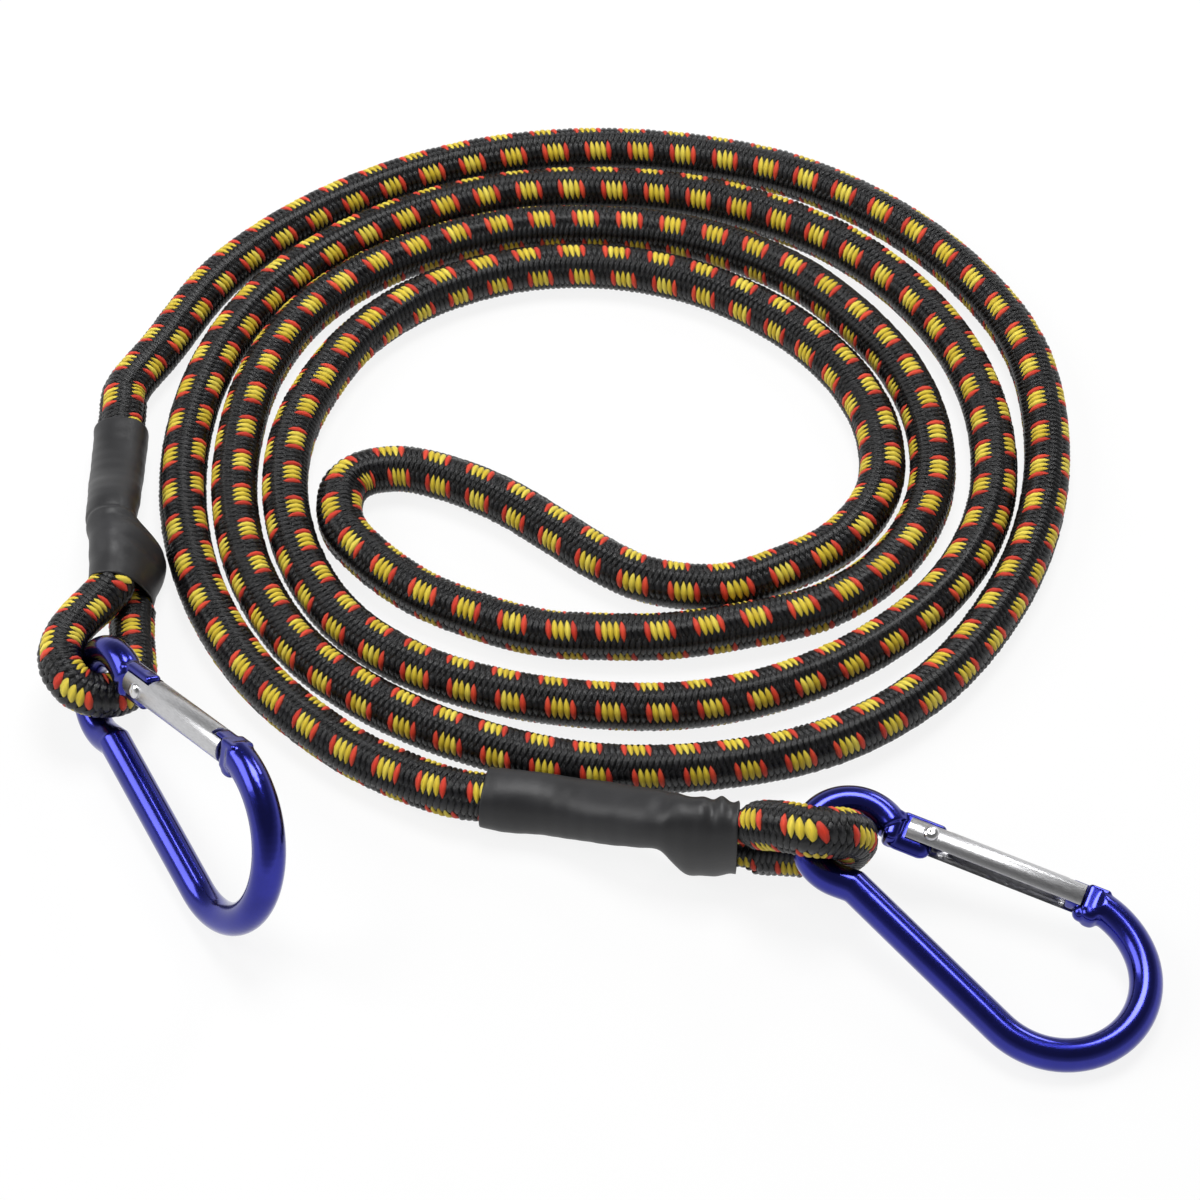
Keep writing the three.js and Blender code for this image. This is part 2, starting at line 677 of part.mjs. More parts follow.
function addEnd(side, points, stations, axis, crimpAt) {
  const route = new PointedCurve(points);
  const steps = eyeStepsPerPoint * route.spans;
  const heading = Math.sign(stations.at(-1)[0] - stations[0][0]);
  const squeezeReach = squeezeReachShare * Math.abs(stations[1][0] - crimpAt);
  const squeeze = squeezeNear(axis, crimpAt, heading, squeezeReach);
  add(laid, `eye_sheath_${side}`, sweep(route, steps, squeeze, unitOutline, unitBore), sheathMaterial);
  add(laid, `eye_core_${side}`, sweep(route, steps, squeeze, unitCore), rubberMaterial);
  const mouth = stations.at(-1)[0];
  const outside = (p) => heading * (p[axis === 'y' ? 1 : 0] - mouth) > 0;
  const main = points.slice(0, points.findIndex(outside) + 2);
  const tail = points.slice(points.findLastIndex(outside) - 1);
  const runs = [
    [beyond(main[1], main[0], sleeveMouthInset + overrun), ...main],
    [...tail, beyond(tail.at(-2), tail.at(-1), clearance)],
  ];
  add(laid, `shrink_sleeve_${side}`, sleeve(stations, axis, runs, squeeze), sleeveMaterial);
  const band = crimpBand(crossing(main, axis, crimpAt), crossing(tail, axis, crimpAt), axis);
  add(laid, `crimp_band_${side}`, band, steelMaterial);
}

add(laid, 'coil_sheath', coilSheath(), sheathMaterial);
add(laid, 'coil_core', coilCore(), rubberMaterial);
addEnd('left', leftEyePoints, leftSleeveStations, 'y', leftCrimpAt);
addEnd('right', rightEyePoints, rightSleeveStations, 'x', rightCrimpAt);
addCarabiner('left', leftPlace, leftTurns);
addCarabiner('right', rightPlace, rightTurns);

// The cord is left out of the footprint
const footprint = new THREE.Box3();
bungee.updateMatrixWorld(true);
laid.traverse((piece) => {
  const isCord = piece.name.startsWith('coil_') || piece.name.startsWith('eye_');
  if (piece.isMesh && !isCord) footprint.union(new THREE.Box3().setFromObject(piece, true));
});
const middle = footprint.getCenter(new THREE.Vector3());
laid.position.set(-middle.x, -middle.y, -footprint.min.z);

const coilLine = curveThrough(coilPoints, 1600);
console.log(`least gap of the coiled cord to itself: ${leastGap(coilLine, cordRadius).toFixed(2)} mm`);
console.log(`length of cord in the coil: ${coilLine.getLength().toFixed(0)} mm`);

export default bungee;
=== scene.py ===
# %% [markdown]
# # An elastic cord with a carabiner at each end
#
# The cord is 10 mm thick and about two metres long. It has a rubber core inside a braided sheath, it lies in a flat
# coil, and each of its ends is turned back into an eye under a shrink sleeve. A snap carabiner hangs in each eye.
# The solids come in first as a fixed frame. Everything below dresses them: the cord with its braid, the sleeves,
# the carabiners with their gates, then the finishes and the light.

# %% Load the solids
import json
import math

import bpy
import numpy as np
from mathutils import Matrix, Vector

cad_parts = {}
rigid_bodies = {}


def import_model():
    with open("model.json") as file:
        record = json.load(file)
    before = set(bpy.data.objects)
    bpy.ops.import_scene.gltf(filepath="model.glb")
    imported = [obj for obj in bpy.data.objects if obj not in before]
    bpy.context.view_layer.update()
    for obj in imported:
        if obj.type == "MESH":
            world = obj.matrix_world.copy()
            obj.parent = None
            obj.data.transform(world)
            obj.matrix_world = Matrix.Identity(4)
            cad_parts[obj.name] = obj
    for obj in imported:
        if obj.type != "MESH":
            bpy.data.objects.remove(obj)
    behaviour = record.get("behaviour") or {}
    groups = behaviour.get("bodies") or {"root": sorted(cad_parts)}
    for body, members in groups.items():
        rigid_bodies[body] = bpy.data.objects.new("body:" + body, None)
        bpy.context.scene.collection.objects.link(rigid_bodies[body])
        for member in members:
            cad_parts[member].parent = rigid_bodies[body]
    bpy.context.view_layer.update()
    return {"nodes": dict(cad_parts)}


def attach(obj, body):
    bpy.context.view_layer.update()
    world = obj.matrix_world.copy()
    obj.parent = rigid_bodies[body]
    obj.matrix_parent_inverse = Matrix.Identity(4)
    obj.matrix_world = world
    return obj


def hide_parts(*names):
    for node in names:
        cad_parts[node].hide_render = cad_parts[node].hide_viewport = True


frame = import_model()
MM = 0.001
SIDES = ("left", "right")

# %% [markdown]
# ## The camera
#
# The picture was taken from well above the cord and from some way off, so the coil looks like a flattened oval with
# little perspective. A long lens fifty degrees above the ground gives the same view. It is aimed at a point on the
# ground inside the coil.

# %% Place the camera
AIM = Vector((0.418156, 35.583171, 0)) * MM
CAMERA_BACK = 528.5 * MM
CAMERA_UP = 629.8 * MM
LENS = 119.9
SENSOR = 36
FARTHEST_SEEN = 20

bpy.ops.object.camera_add(location=AIM + Vector((0, -CAMERA_BACK, CAMERA_UP)))
camera = bpy.context.active_object
camera.name = "camera"
camera.rotation_euler = (AIM - camera.location).to_track_quat("-Z", "Y").to_euler()
camera.data.lens = LENS
camera.data.sensor_width = SENSOR
camera.data.clip_end = FARTHEST_SEEN
bpy.context.scene.camera = camera
bpy.context.scene.view_settings.view_transform = "Standard"
print("camera height:", round(camera.location.z, 3))

# %% [markdown]
# ## The cord's route
#
# The coil has four turns that lie flat beside each other. Each turn is written as distances from one centre, every
# fifteen degrees. The cord comes out of the left sleeve, goes round the outer turn, works inwards, doubles back on
# itself in the middle and comes out again to the right sleeve. At both ends it rises over its own tail, passes
# through a carabiner's eye and returns under itself.
# The points are in millimetres, measured from the aim point of the camera.

# %% Points along the coil
CORD_RADIUS = 5.0
CORD_HEIGHT = 4.7
COIL_CENTRE = (-2, 42)
LANE_STEP = 15
# first angle, last angle, distances from the centre
LANES = {
    "outer": (165, -105, [95.7, 93.4, 90.3, 88, 86.8, 86.5, 87.6, 90.2, 92.3, 94.6, 96.7, 96.4, 96.3, 96.4, 96.9,
                          95.4, 91.8, 88.8, 85.9]),
    "third": (240, -90, [84.3, 83, 80, 76.7, 74, 72.6, 70.9, 68.1, 65.2, 63.3, 61.9, 62.2, 63.2, 64.8, 66.4, 69.2,
                         71.6, 73, 71.6, 67.4, 61, 57.5, 55.5]),
    "inner": (-45, 240, [54.3, 59.8, 62.3, 60.8, 57.6, 54.3, 51.7, 50.3, 49.6, 49.8, 50.8, 52.4, 54.7, 57.1, 59.4,
                         62.8, 66, 69.1, 71.8, 72.5]),
    "second": (-105, 240, [72.3, 73.2, 75.9, 78.8, 81.7, 84.6, 85.8, 84.7, 83, 80.8, 78.7, 76.3, 74.7, 73.9, 74.7,
                           76.2, 78.8, 81.7, 83.3, 85, 87.5, 90.8, 94.2, 97.1]),
}
FOLD = [(-9.5, -13), (-18.5, -10.7), (-27.5, -7), (-37, -1.9), (-46, 5.9), (-52.8, 14.6), (-54.3, 21.6),
        (-53.2, 27.2), (-50, 30.4), (-45.4, 31.8), (-40, 31.8), (-30, 28.5), (-20, 23), (-10, 15.2), (0, 7.1),
        (9.9, 1.4), (25, -0.5)]
LEFT_COIL_END = [(-101.2, 47.5, 5.8), (-101.1, 53, 5.5)]
RIGHT_COIL_END = [(-38.5, -49.5, 5), (-29, -54, 5.7), (-24, -55.1, 5.8)]
LEFT_EYE = [
    (-101.2, 41.7, 5.8), (-101, 32, 5.8), (-100.5, 23, 8.6), (-99.6, 13, 12.6), (-98.8, 3, 13.4), (-98.5, -7.6, 13.7),
    (-101, -12, 13.7), (-103.9, -16.5, 14.3), (-106.2, -21.6, 15), (-107.1, -26.6, 15.5), (-106.4, -30.7, 15.4),
    (-104.8, -33.3, 14.9), (-102.9, -34.7, 14), (-99.9, -35.2, 12.8), (-96.9, -34.3, 11.5), (-94.6, -32.2, 10.3),
    (-93.2, -29.2, 9.3), (-93, -25.9, 8.7), (-93.6, -22, 8), (-94.4, -16, 6.8), (-95.1, -9.5, 5.4), (-95.3, -4.5, 5),
    (-95.3, 3, 5), (-95.2, 8.6, 5),
]
RIGHT_EYE = [
    (-18.3, -55.95, 5.8), (-8.5, -57.5, 5.8), (3, -62, 9.1), (12, -66.2, 12.9), (17, -67.6, 13.5), (23, -68.1, 13.6),
    (27.3, -69.1, 14.7), (30.2, -70.6, 17.2), (33.3, -72.3, 19.4), (36.8, -74.2, 21.1), (40.4, -75.6, 21.8),
    (43.8, -75.1, 20.9), (46.6, -73.9, 18.9), (48.2, -72.5, 16.1), (48.3, -71.4, 12.8), (47.4, -70.4, 9.5),
    (45.3, -69.4, 6.9), (42.3, -68.4, 5.3), (39, -67.8, 4.8), (33, -67.4, 4.8), (27, -67.4, 5), (21, -67.4, 5),
    (16.5, -67.4, 5),
]


def lane_points(name):
    start, end, radii = LANES[name]
    turn = math.copysign(LANE_STEP, end - start)
    angles = np.radians(start + turn * np.arange(len(radii)))
    return [(COIL_CENTRE[0] + r * math.cos(a), COIL_CENTRE[1] + r * math.sin(a), CORD_HEIGHT)
            for r, a in zip(radii, angles)]


route = np.array([*reversed(LEFT_EYE), *LEFT_COIL_END, *lane_points("outer"), *lane_points("third"),
                  *[(x, y, CORD_HEIGHT) for x, y in FOLD], *lane_points("inner"), *lane_points("second"),
                  *RIGHT_COIL_END, *RIGHT_EYE])
print("points on the route:", len(route))

# %% [markdown]
# ## A smooth line with a frame on it
#
# A curve through the points is sampled every half millimetre. Each sample also gets two directions across the cord.
# They are carried along the line with as little turning as possible, because a braid that followed the bends by
# itself would twist wherever the cord turns out of its plane.

# %% Sample the route
SAMPLE = 0.5
SMOOTHING_PASSES = 4


def smooth_line(points, per_span=40):
    """A centripetal curve through the points, sampled finely."""
    ends = [2 * points[0] - points[1], *points, 2 * points[-1] - points[-2]]
    out = []
    for p0, p1, p2, p3 in zip(ends[:-3], ends[1:-2], ends[2:-1], ends[3:]):
        t = [0.0]
        for a, b in ((p0, p1), (p1, p2), (p2, p3)):
            t.append(t[-1] + max(1e-6, math.sqrt(np.linalg.norm(b - a))))
        u = np.linspace(t[1], t[2], per_span, endpoint=False)[:, None]
        a1 = (t[1] - u) / (t[1] - t[0]) * p0 + (u - t[0]) / (t[1] - t[0]) * p1
        a2 = (t[2] - u) / (t[2] - t[1]) * p1 + (u - t[1]) / (t[2] - t[1]) * p2
        a3 = (t[3] - u) / (t[3] - t[2]) * p2 + (u - t[2]) / (t[3] - t[2]) * p3
        b1 = (t[2] - u) / (t[2] - t[0]) * a1 + (u - t[0]) / (t[2] - t[0]) * a2
        b2 = (t[3] - u) / (t[3] - t[1]) * a2 + (u - t[1]) / (t[3] - t[1]) * a3
        out.append((t[2] - u) / (t[2] - t[1]) * b1 + (u - t[1]) / (t[2] - t[1]) * b2)
    return np.vstack([*out, points[-1][None]])


def unit(vectors):
    return vectors / np.linalg.norm(vectors, axis=-1, keepdims=True)


raw = smooth_line(route)
travelled = np.concatenate([[0], np.cumsum(np.linalg.norm(np.diff(raw, axis=0), axis=1))])
CORD_LENGTH = travelled[-1]
along = np.linspace(0, CORD_LENGTH, int(CORD_LENGTH / SAMPLE) + 1)
line = np.stack([np.interp(along, travelled, raw[:, k]) for k in range(3)], axis=1)
for _ in range(SMOOTHING_PASSES):
    line[1:-1] = 0.25 * line[:-2] + 0.5 * line[1:-1] + 0.25 * line[2:]
tangents = unit(np.gradient(line, axis=0))
normals = np.empty_like(line)
normals[0] = unit(np.cross(np.cross(tangents[0], (0, 0, 1)), tangents[0]))
for i in range(1, len(line)):
    carried = normals[i - 1] - tangents[i] * np.dot(normals[i - 1], tangents[i])
    normals[i] = carried / np.linalg.norm(carried)
binormals = np.cross(tangents, normals)
print("length of the cord:", round(CORD_LENGTH), "mm")

# %% [markdown]
# ## How thick the cord is
#
# The cord has its full thickness nearly everywhere. The left eye is drawn tight, so the cord is a little thinner
# round it. Under a sleeve the cord is squeezed, and where the crimp band grips it, inside the thick end of the
# sleeve, it is squeezed more. All of this is one list with a radius for every sample, which the body and the braid
# both read.

# %% Thickness along the route
CRIMPED = 3.4
SQUEEZED = 4.2
BAND_HALF = 5.75
BAND_CLEAR = 14
EYE_SIDE_REACH, EYE_SIDE_EASE = 11, 3
COIL_SIDE_REACH, COIL_SIDE_EASE = 22, 6
LEFT_CRIMP = 3
RIGHT_CRIMP = 20
END_REACH = 260
LEFT_EYE_SHARE = 0.92
LEFT_EYE_THINS = (4, 16)
LEFT_SLEEVE_HIDES = (-4, 39)
RIGHT_SLEEVE_HIDES = (-20.5, 24.5)


def smoothstep(x, low, high):
    t = np.clip((x - low) / (high - low), 0, 1)
    return t * t * (3 - 2 * t)


def squeezed_radius(beyond_crimp):
    """Thickness at a signed distance from the crimp band, positive towards the eye."""
    distance = np.abs(beyond_crimp)
    reach = np.where(beyond_crimp > 0, EYE_SIDE_REACH, COIL_SIDE_REACH)
    ease = np.where(beyond_crimp > 0, EYE_SIDE_EASE, COIL_SIDE_EASE)
    inside = CRIMPED + (SQUEEZED - CRIMPED) * smoothstep(distance, BAND_HALF, BAND_CLEAR)
    freed = smoothstep(distance, reach - ease, reach)
    return inside + (CORD_RADIUS - inside) * freed


def between(values, limits):
    return (values > limits[0]) & (values < limits[1])


near_start = along < END_REACH
near_end = along > CORD_LENGTH - END_REACH
radius = np.full(len(line), CORD_RADIUS)
radius[near_start] = squeezed_radius(LEFT_CRIMP - line[near_start, 1])
radius[near_end] = squeezed_radius(line[near_end, 0] - RIGHT_CRIMP)
radius[near_start] *= 1 - (1 - LEFT_EYE_SHARE) * smoothstep(-line[near_start, 1], *LEFT_EYE_THINS)
covered = (near_start & between(line[:, 1], LEFT_SLEEVE_HIDES)) | (
    near_end & between(line[:, 0], RIGHT_SLEEVE_HIDES))
print("length that shows:", round(float((~covered).sum() * SAMPLE)), "mm")

# %% [markdown]
# ## The body of the cord
#
# Under the braid's raised threads lies the cord's own round body. It is one tube with rings of points along the
# route, a little thinner than the finished cord, so that it shows only as dark lines between the threads. A tube as
# long as this is best made straight from its rings.

# %% Make the tube
AIM_MM = np.array(AIM) / MM
UNDER_SHARE = 0.9
TUBE_SIDES = 20
TUBE_STEP = 4


def new_piece(name, points, faces):
    """A mesh object from points in millimetres from the aim point."""
    mesh = bpy.data.meshes.new(name)
    mesh.from_pydata(((points + AIM_MM) * MM).tolist(), [], faces.tolist() if hasattr(faces, "tolist") else faces)
    mesh.update()
    piece = bpy.data.objects.new(name, mesh)
    bpy.context.scene.collection.objects.link(piece)
    piece.data.shade_smooth()
    return piece


rings = np.unique(np.append(np.arange(0, len(line), TUBE_STEP), len(line) - 1))
turns = np.arange(TUBE_SIDES) * 2 * math.pi / TUBE_SIDES
around = (np.cos(turns)[None, :, None] * normals[rings][:, None] + np.sin(turns)[None, :, None]
          * binormals[rings][:, None])
tube_points = line[rings][:, None] + around * (UNDER_SHARE * radius[rings])[:, None, None]
ring_starts = np.arange(len(rings) - 1)[:, None] * TUBE_SIDES
here = ring_starts + np.arange(TUBE_SIDES)[None]
beside = ring_starts + (np.arange(TUBE_SIDES)[None] + 1) % TUBE_SIDES
tube_faces = np.stack([here, beside, beside + TUBE_SIDES, here + TUBE_SIDES], axis=-1).reshape(-1, 4).tolist()
tube_faces.append(list(range(TUBE_SIDES))[::-1])
tube_faces.append([int((len(rings) - 1) * TUBE_SIDES + j) for j in range(TUBE_SIDES)])
cord_tube = new_piece("cord_body", tube_points.reshape(-1, 3), tube_faces)
print("faces on the cord's body:", len(cord_tube.data.polygons))

# %% [markdown]
# ## The braid
#
# The sheath is braided from sixteen threads. Each thread passes over two others and then dives under two, and the
# stretch on top is a short spindle that lies nearly straight across the cord. Round the cord there are four columns
# of spindles that lean one way and four between them that lean the other way. One family is all black. In the other,
# eight spindles repeat along the cord: red, three yellow, red and three black. Each next column of that family is a
# quarter of the repeat further on, which makes the spots climb round the cord like a screw.
# One spindle is made as a small domed grid of points, and numpy lays thousands of copies on the cord, each bent to
# its place.

# %% Shape of one thread's visible stretch
REPEAT = 9.8
PER_REPEAT = 8
SPACING = REPEAT / PER_REPEAT
HALF_LENGTH = 2.75
HALF_WIDTH = 0.7
LEAN = math.radians(9)
EDGE_SHARE = 0.925
CROWN = 0.4
# shares of the half length, of the width there and of the crown's height, from one tip to the other
ALONG_SHARES = np.array([-1, -0.5, 0, 0.5, 1])
WIDTH_SHARES = np.array([0, 0.68, 1, 0.68, 0])
RISE_SHARES = np.array([-0.3, 0.66, 1, 0.66, -0.3])
# the same across the thread, from edge to edge
ACROSS_SHARES = np.array([-1, -0.55, 0, 0.55, 1])
CROSS_RISE_SHARES = np.array([0, 0.78, 1, 0.78, 0])


def spindle_grid():
    """Places on one spindle: along it, across it and up from the cord, with its faces."""
    spots = [(-1.0, 0.0, RISE_SHARES[0], 0.0, 0.5)]
    for t, w, h in zip(ALONG_SHARES[1:-1], WIDTH_SHARES[1:-1], RISE_SHARES[1:-1]):
        for v, c in zip(ACROSS_SHARES, CROSS_RISE_SHARES):
            spots.append((t, v * w, h * c, 0.5 + 0.5 * t, 0.5 + 0.5 * v))
    spots.append((1.0, 0.0, RISE_SHARES[-1], 1.0, 0.5))
    width = len(ACROSS_SHARES)
    faces = []
    for j in range(width - 1):
        faces.append((0, 1 + j + 1, 1 + j))
        for row in range(2):
            first = 1 + row * width + j
            faces.append((first, first + 1, first + width + 1))
            faces.append((first, first + width + 1, first + width))
        last = 1 + 2 * width + j
        faces.append((last, last + 1, len(spots) - 1))
    return np.array(spots), np.array(faces)


spindle, spindle_faces = spindle_grid()
print("faces on one spindle:", len(spindle_faces))

# %% [markdown]
# The cord was laid down with a little twist in it, so the columns of spots wander slowly round it. The list of
# places and angles below was read along the cord, and it is followed evenly from one pair to the next.

# %% Twist of the cord
# place along the route, angle in degrees
TWIST = [(0, 0), (110, 0), (150, 12), (220, 18), (270, 8), (320, 0), (365, -16), (520, -15), (612, -17), (700, -17),
         (770, -21), (820, -25), (865, -34), (920, -57), (970, -57), (1020, -66), (1070, -72), (1120, -58),
         (1170, -70), (1220, -94), (1270, -112), (1365, -124), (1400, -152), (1470, -154), (1520, -161), (1612, -164),
         (1670, -170), (1770, -177), (1800, -166), (1820, -170), (1860, -188), (1880, -178), (1925, -178),
         (1950, -186), (2000, -178), (2025, -190), (2085, -200), (2112, -176), (2300, -176)]
print("twist from end to end:", TWIST[-1][1] - TWIST[0][1], "degrees")

# %% [markdown]
# Now the spindles are laid. Each one gets a slightly different length, tilt and height, because braided thread is
# never quite even. The spots are counted along the cord, and those that a sleeve hides are left out.

# %% Lay the spindles on the cord
COLUMNS = 4
COLUMN_STEP = PER_REPEAT // COLUMNS
FIRST_SPOT = -6.6
END_GAP = 2
LENGTH_JITTER = 0.03
TILT_JITTER = 0.03
RISE_JITTER = 0.04
rng = np.random.default_rng(7)


def at(values, s):
    return np.stack([np.interp(s, along, values[:, k]) for k in range(3)], axis=-1)


def lay_spindles(name, places, turns_at, lean):
    """One piece with a copy of the spindle at each place along the cord and each angle round it."""
    twist = np.radians(np.interp(places, [p[0] for p in TWIST], [p[1] for p in TWIST]))
    size = np.interp(places, along, radius)
    jitter = rng.normal(0, 1, (len(places), 3))
    half = HALF_LENGTH * (1 + LENGTH_JITTER * jitter[:, :1])
    t = spindle[None, :, 0] * half
    v = spindle[None, :, 1] * HALF_WIDTH
    tilt = lean + TILT_JITTER * jitter[:, 1:2]
    shift = v * np.cos(tilt) + t * np.sin(tilt)
    arc = t * np.cos(tilt) - v * np.sin(tilt)
    s = places[:, None] + shift
    angle = (turns_at + twist)[:, None] + arc / CORD_RADIUS
    rise = (EDGE_SHARE * CORD_RADIUS + spindle[None, :, 2] * (CROWN + RISE_JITTER * jitter[:, 2:3])) * (
        size[:, None] / CORD_RADIUS)
    out = np.cos(angle)[..., None] * at(normals, s) + np.sin(angle)[..., None] * at(binormals, s)
    points = at(line, s) + rise[..., None] * out
    count = len(spindle)
    faces = spindle_faces[None] + (np.arange(len(places)) * count)[:, None, None]
    piece = new_piece(name, points.reshape(-1, 3), faces.reshape(-1, 3))
    corner = faces.reshape(-1)
    uv = piece.data.uv_layers.new(name="thread")
    uv.data.foreach_set("uv", np.tile(spindle[:, 3:5], (len(places), 1))[corner].astype(np.float32).ravel())
    tone = piece.data.attributes.new("tone", "FLOAT", "POINT")
    tone.data.foreach_set("value", np.repeat(rng.random(len(places)), count).astype(np.float32))
    return piece


def spots_for(column, wanted):
    """Places along the cord of the leaning family's spindles in one column, for the wanted steps of the repeat."""
    steps = np.arange(END_GAP, int(CORD_LENGTH / SPACING) - END_GAP)
    steps = steps[np.isin((steps - COLUMN_STEP * column) % PER_REPEAT, wanted)]
    places = steps * SPACING + FIRST_SPOT
    return places[np.interp(places, along, covered) < 0.5]


def family(name, wanted, lean, offset, phase):
    """One piece with the wanted steps of all four columns, turned by an offset and moved along by a phase."""
    places, angles = [], []
    for column in range(COLUMNS):
        found = spots_for(column, wanted) + phase
        places.append(found)
        angles.append(np.full(len(found), math.radians(offset + 360 / COLUMNS * column)))
    return lay_spindles(name, np.concatenate(places), np.concatenate(angles), lean)


braid = {
    "braid_red": family("braid_red", [0, 4], LEAN, 0, 0),
    "braid_yellow": family("braid_yellow", [1, 2, 3], LEAN, 0, 0),
    "braid_black_one": family("braid_black_one", [5, 6, 7], LEAN, 0, 0),
    "braid_black_two": family("braid_black_two", list(range(PER_REPEAT)), -LEAN, 180 / COLUMNS, SPACING / 2),
}
for name, piece in braid.items():
    print(name, len(piece.data.polygons))

# %% [markdown]
# ## The shrink sleeves
#
# Each sleeve is a plastic tube that was slid over the cord and heated until it shrank on. Over the single cord it is
# a plain tube. Where the tail joins, it stretches over both cords and over the crimp band, so its section grows into
# a leaning oval with a rounded shoulder.
# The shape is written as a list of sections along the sleeve. Between two rows every size runs smoothly from one to
# the other, so a shoulder is as steep as its rows are close.

# %% Sections of the sleeves
# along, across, height, half width, half height, lean in degrees
LEFT_SECTIONS = np.array([
    (40.6, -101.1, 5.85, 5.75, 5.75, 0), (39, -101.05, 5.85, 5.7, 5.75, 0), (33, -101, 6, 5.6, 5.8, 0),
    (24, -100.8, 8.2, 5.5, 5.7, 0), (18, -100.4, 10.8, 5.4, 5.6, 0), (13.5, -100.3, 12.2, 5.2, 5.6, 0),
    (11.1, -100.2, 12.5, 5.2, 5.6, 0), (10.1, -100.1, 12.5, 5.2, 5.6, -1), (9.1, -98.8, 10.4, 5.6, 8.6, -18),
    (8.2, -97.8, 9.4, 6, 9.9, -26), (6, -97, 9.1, 6.2, 10.3, -27), (1, -96.8, 9.2, 6.1, 10.2, -24),
    (-3, -97, 9.3, 5.7, 9.7, -20), (-6, -97.2, 9.4, 5.6, 9.6, -18),
])
RIGHT_SECTIONS = np.array([
    (-22.5, -55.3, 5.85, 5.7, 5.6, 0), (-21, -55.6, 5.85, 5.8, 5.8, 0), (-9, -57.4, 6, 5.7, 5.8, 0),
    (3, -62, 9.2, 5.6, 5.7, 0), (9, -64.8, 11.6, 5.4, 5.6, 0), (13.4, -66.5, 12.4, 5.4, 5.8, 0),
    (15, -66.9, 11.2, 5.6, 7.8, 2), (17, -67.3, 9.7, 5.9, 9.7, 4), (20, -67.7, 9.5, 5.9, 9.8, 4),
    (23, -67.9, 9.5, 5.8, 9.6, 6), (24.9, -68.1, 9.6, 5.6, 9.5, 8), (26.5, -68.2, 9.7, 5.6, 9.6, 9),
])


def smooth_rows(rows, places):
    """Every column of a table of sections, followed smoothly between its rows."""
    keys = rows[:, 0] * np.sign(rows[-1, 0] - rows[0, 0])
    out = []
    for k in range(rows.shape[1]):
        slopes = np.gradient(rows[:, k], keys)
        i = np.clip(np.searchsorted(keys, places) - 1, 0, len(keys) - 2)
        span = keys[i + 1] - keys[i]
        t = (places - keys[i]) / span
        h00, h10 = 2 * t**3 - 3 * t**2 + 1, t**3 - 2 * t**2 + t
        h01, h11 = -2 * t**3 + 3 * t**2, t**3 - t**2
        out.append(h00 * rows[i, k] + h10 * span * slopes[i] + h01 * rows[i + 1, k] + h11 * span * slopes[i + 1])
    return np.stack(out, axis=1)


print("rows of the left and right sleeve:", len(LEFT_SECTIONS), len(RIGHT_SECTIONS))

# %% [markdown]
# As the plastic shrinks it puckers at its mouth and keeps soft wrinkles where it was bent. Each wrinkle is a small
# hill or dip with a place on the sleeve, a reach along it and a reach round it. A faint ripple runs under them all,
# so that no stretch is perfectly smooth.

# %% Wrinkles of the shrunk plastic
# along, angle round the sleeve, reach along, reach round, height
LEFT_FOLDS = [(7.5, 170, 0.9, 50, -0.25), (5, 160, 1, 45, 0.25), (2, 160, 1, 45, -0.3), (-1, 90, 1.8, 50, -0.2),
              (-4.5, 150, 1.2, 30, 0.2), (22, 80, 3, 40, -0.15), (30, 120, 4, 50, 0.12), (3, 30, 2, 35, -0.15)]
RIGHT_FOLDS = [(13.6, 90, 1.0, 60, 0.3), (16.5, 70, 1.4, 40, -0.3), (19.5, 100, 1.0, 70, 0.25),
               (21.6, 75, 0.9, 50, -0.35), (23.2, 60, 1.3, 34, 1.0), (26.5, 75, 0.6, 60, 0.5),
               (22.8, 250, 1.2, 30, 0.35), (25.4, 250, 0.8, 40, -0.3), (2, 120, 3, 50, 0.2), (-6, 70, 4, 50, -0.15)]
# height, waves along, waves round
FINE_RIPPLE = (0.02, 1.9, 2.2)
BROAD_RIPPLE = (0.04, 0.6, 3)


def fold_height(folds, places, angles):
    """Height of the soft folds at places along a sleeve and angles round it."""
    total = np.zeros_like(places)
    for spot, turn, reach, spread, height in folds:
        away = (np.degrees(angles) - turn + 180) % 360 - 180
        total += height * np.exp(-((places - spot) / reach) ** 2 - (away / spread) ** 2)
    fine = FINE_RIPPLE[0] * np.sin(FINE_RIPPLE[1] * places + FINE_RIPPLE[2] * np.sin(angles))
    broad = BROAD_RIPPLE[0] * np.sin(BROAD_RIPPLE[1] * places + BROAD_RIPPLE[2] * angles)
    return total + (fine + broad)


print("wrinkles on the left and right sleeve:", len(LEFT_FOLDS), len(RIGHT_FOLDS))

# %% [markdown]
# A sleeve starts as a flat grid. The grid is rolled up along the sections, its two long edges are merged, and a
# Solidify modifier gives it a wall. Rolling a grid keeps full control of every ring, which a bent cylinder would not.
# The rings are slightly squarer than an oval, because the plastic is stretched over two cords.

# %% Roll up the sleeves
SLEEVE_WALL = 0.5
SLEEVE_AROUND = 64
SLEEVE_ALONG = 120
BLUNTNESS = 2.25
MOUTH_REACH = 10
RESTING_HEIGHT = 0.03
SEAM_MERGE = 0.00001


def deselect_everything():
    if bpy.context.mode != "OBJECT":
        bpy.ops.object.mode_set(mode="OBJECT")
    bpy.ops.object.select_all(action="DESELECT")


def apply_modifiers(piece):
    deselect_everything()
    piece.select_set(True)
    bpy.context.view_layer.objects.active = piece
    for modifier in list(piece.modifiers):
        bpy.ops.object.modifier_apply(modifier=modifier.name)


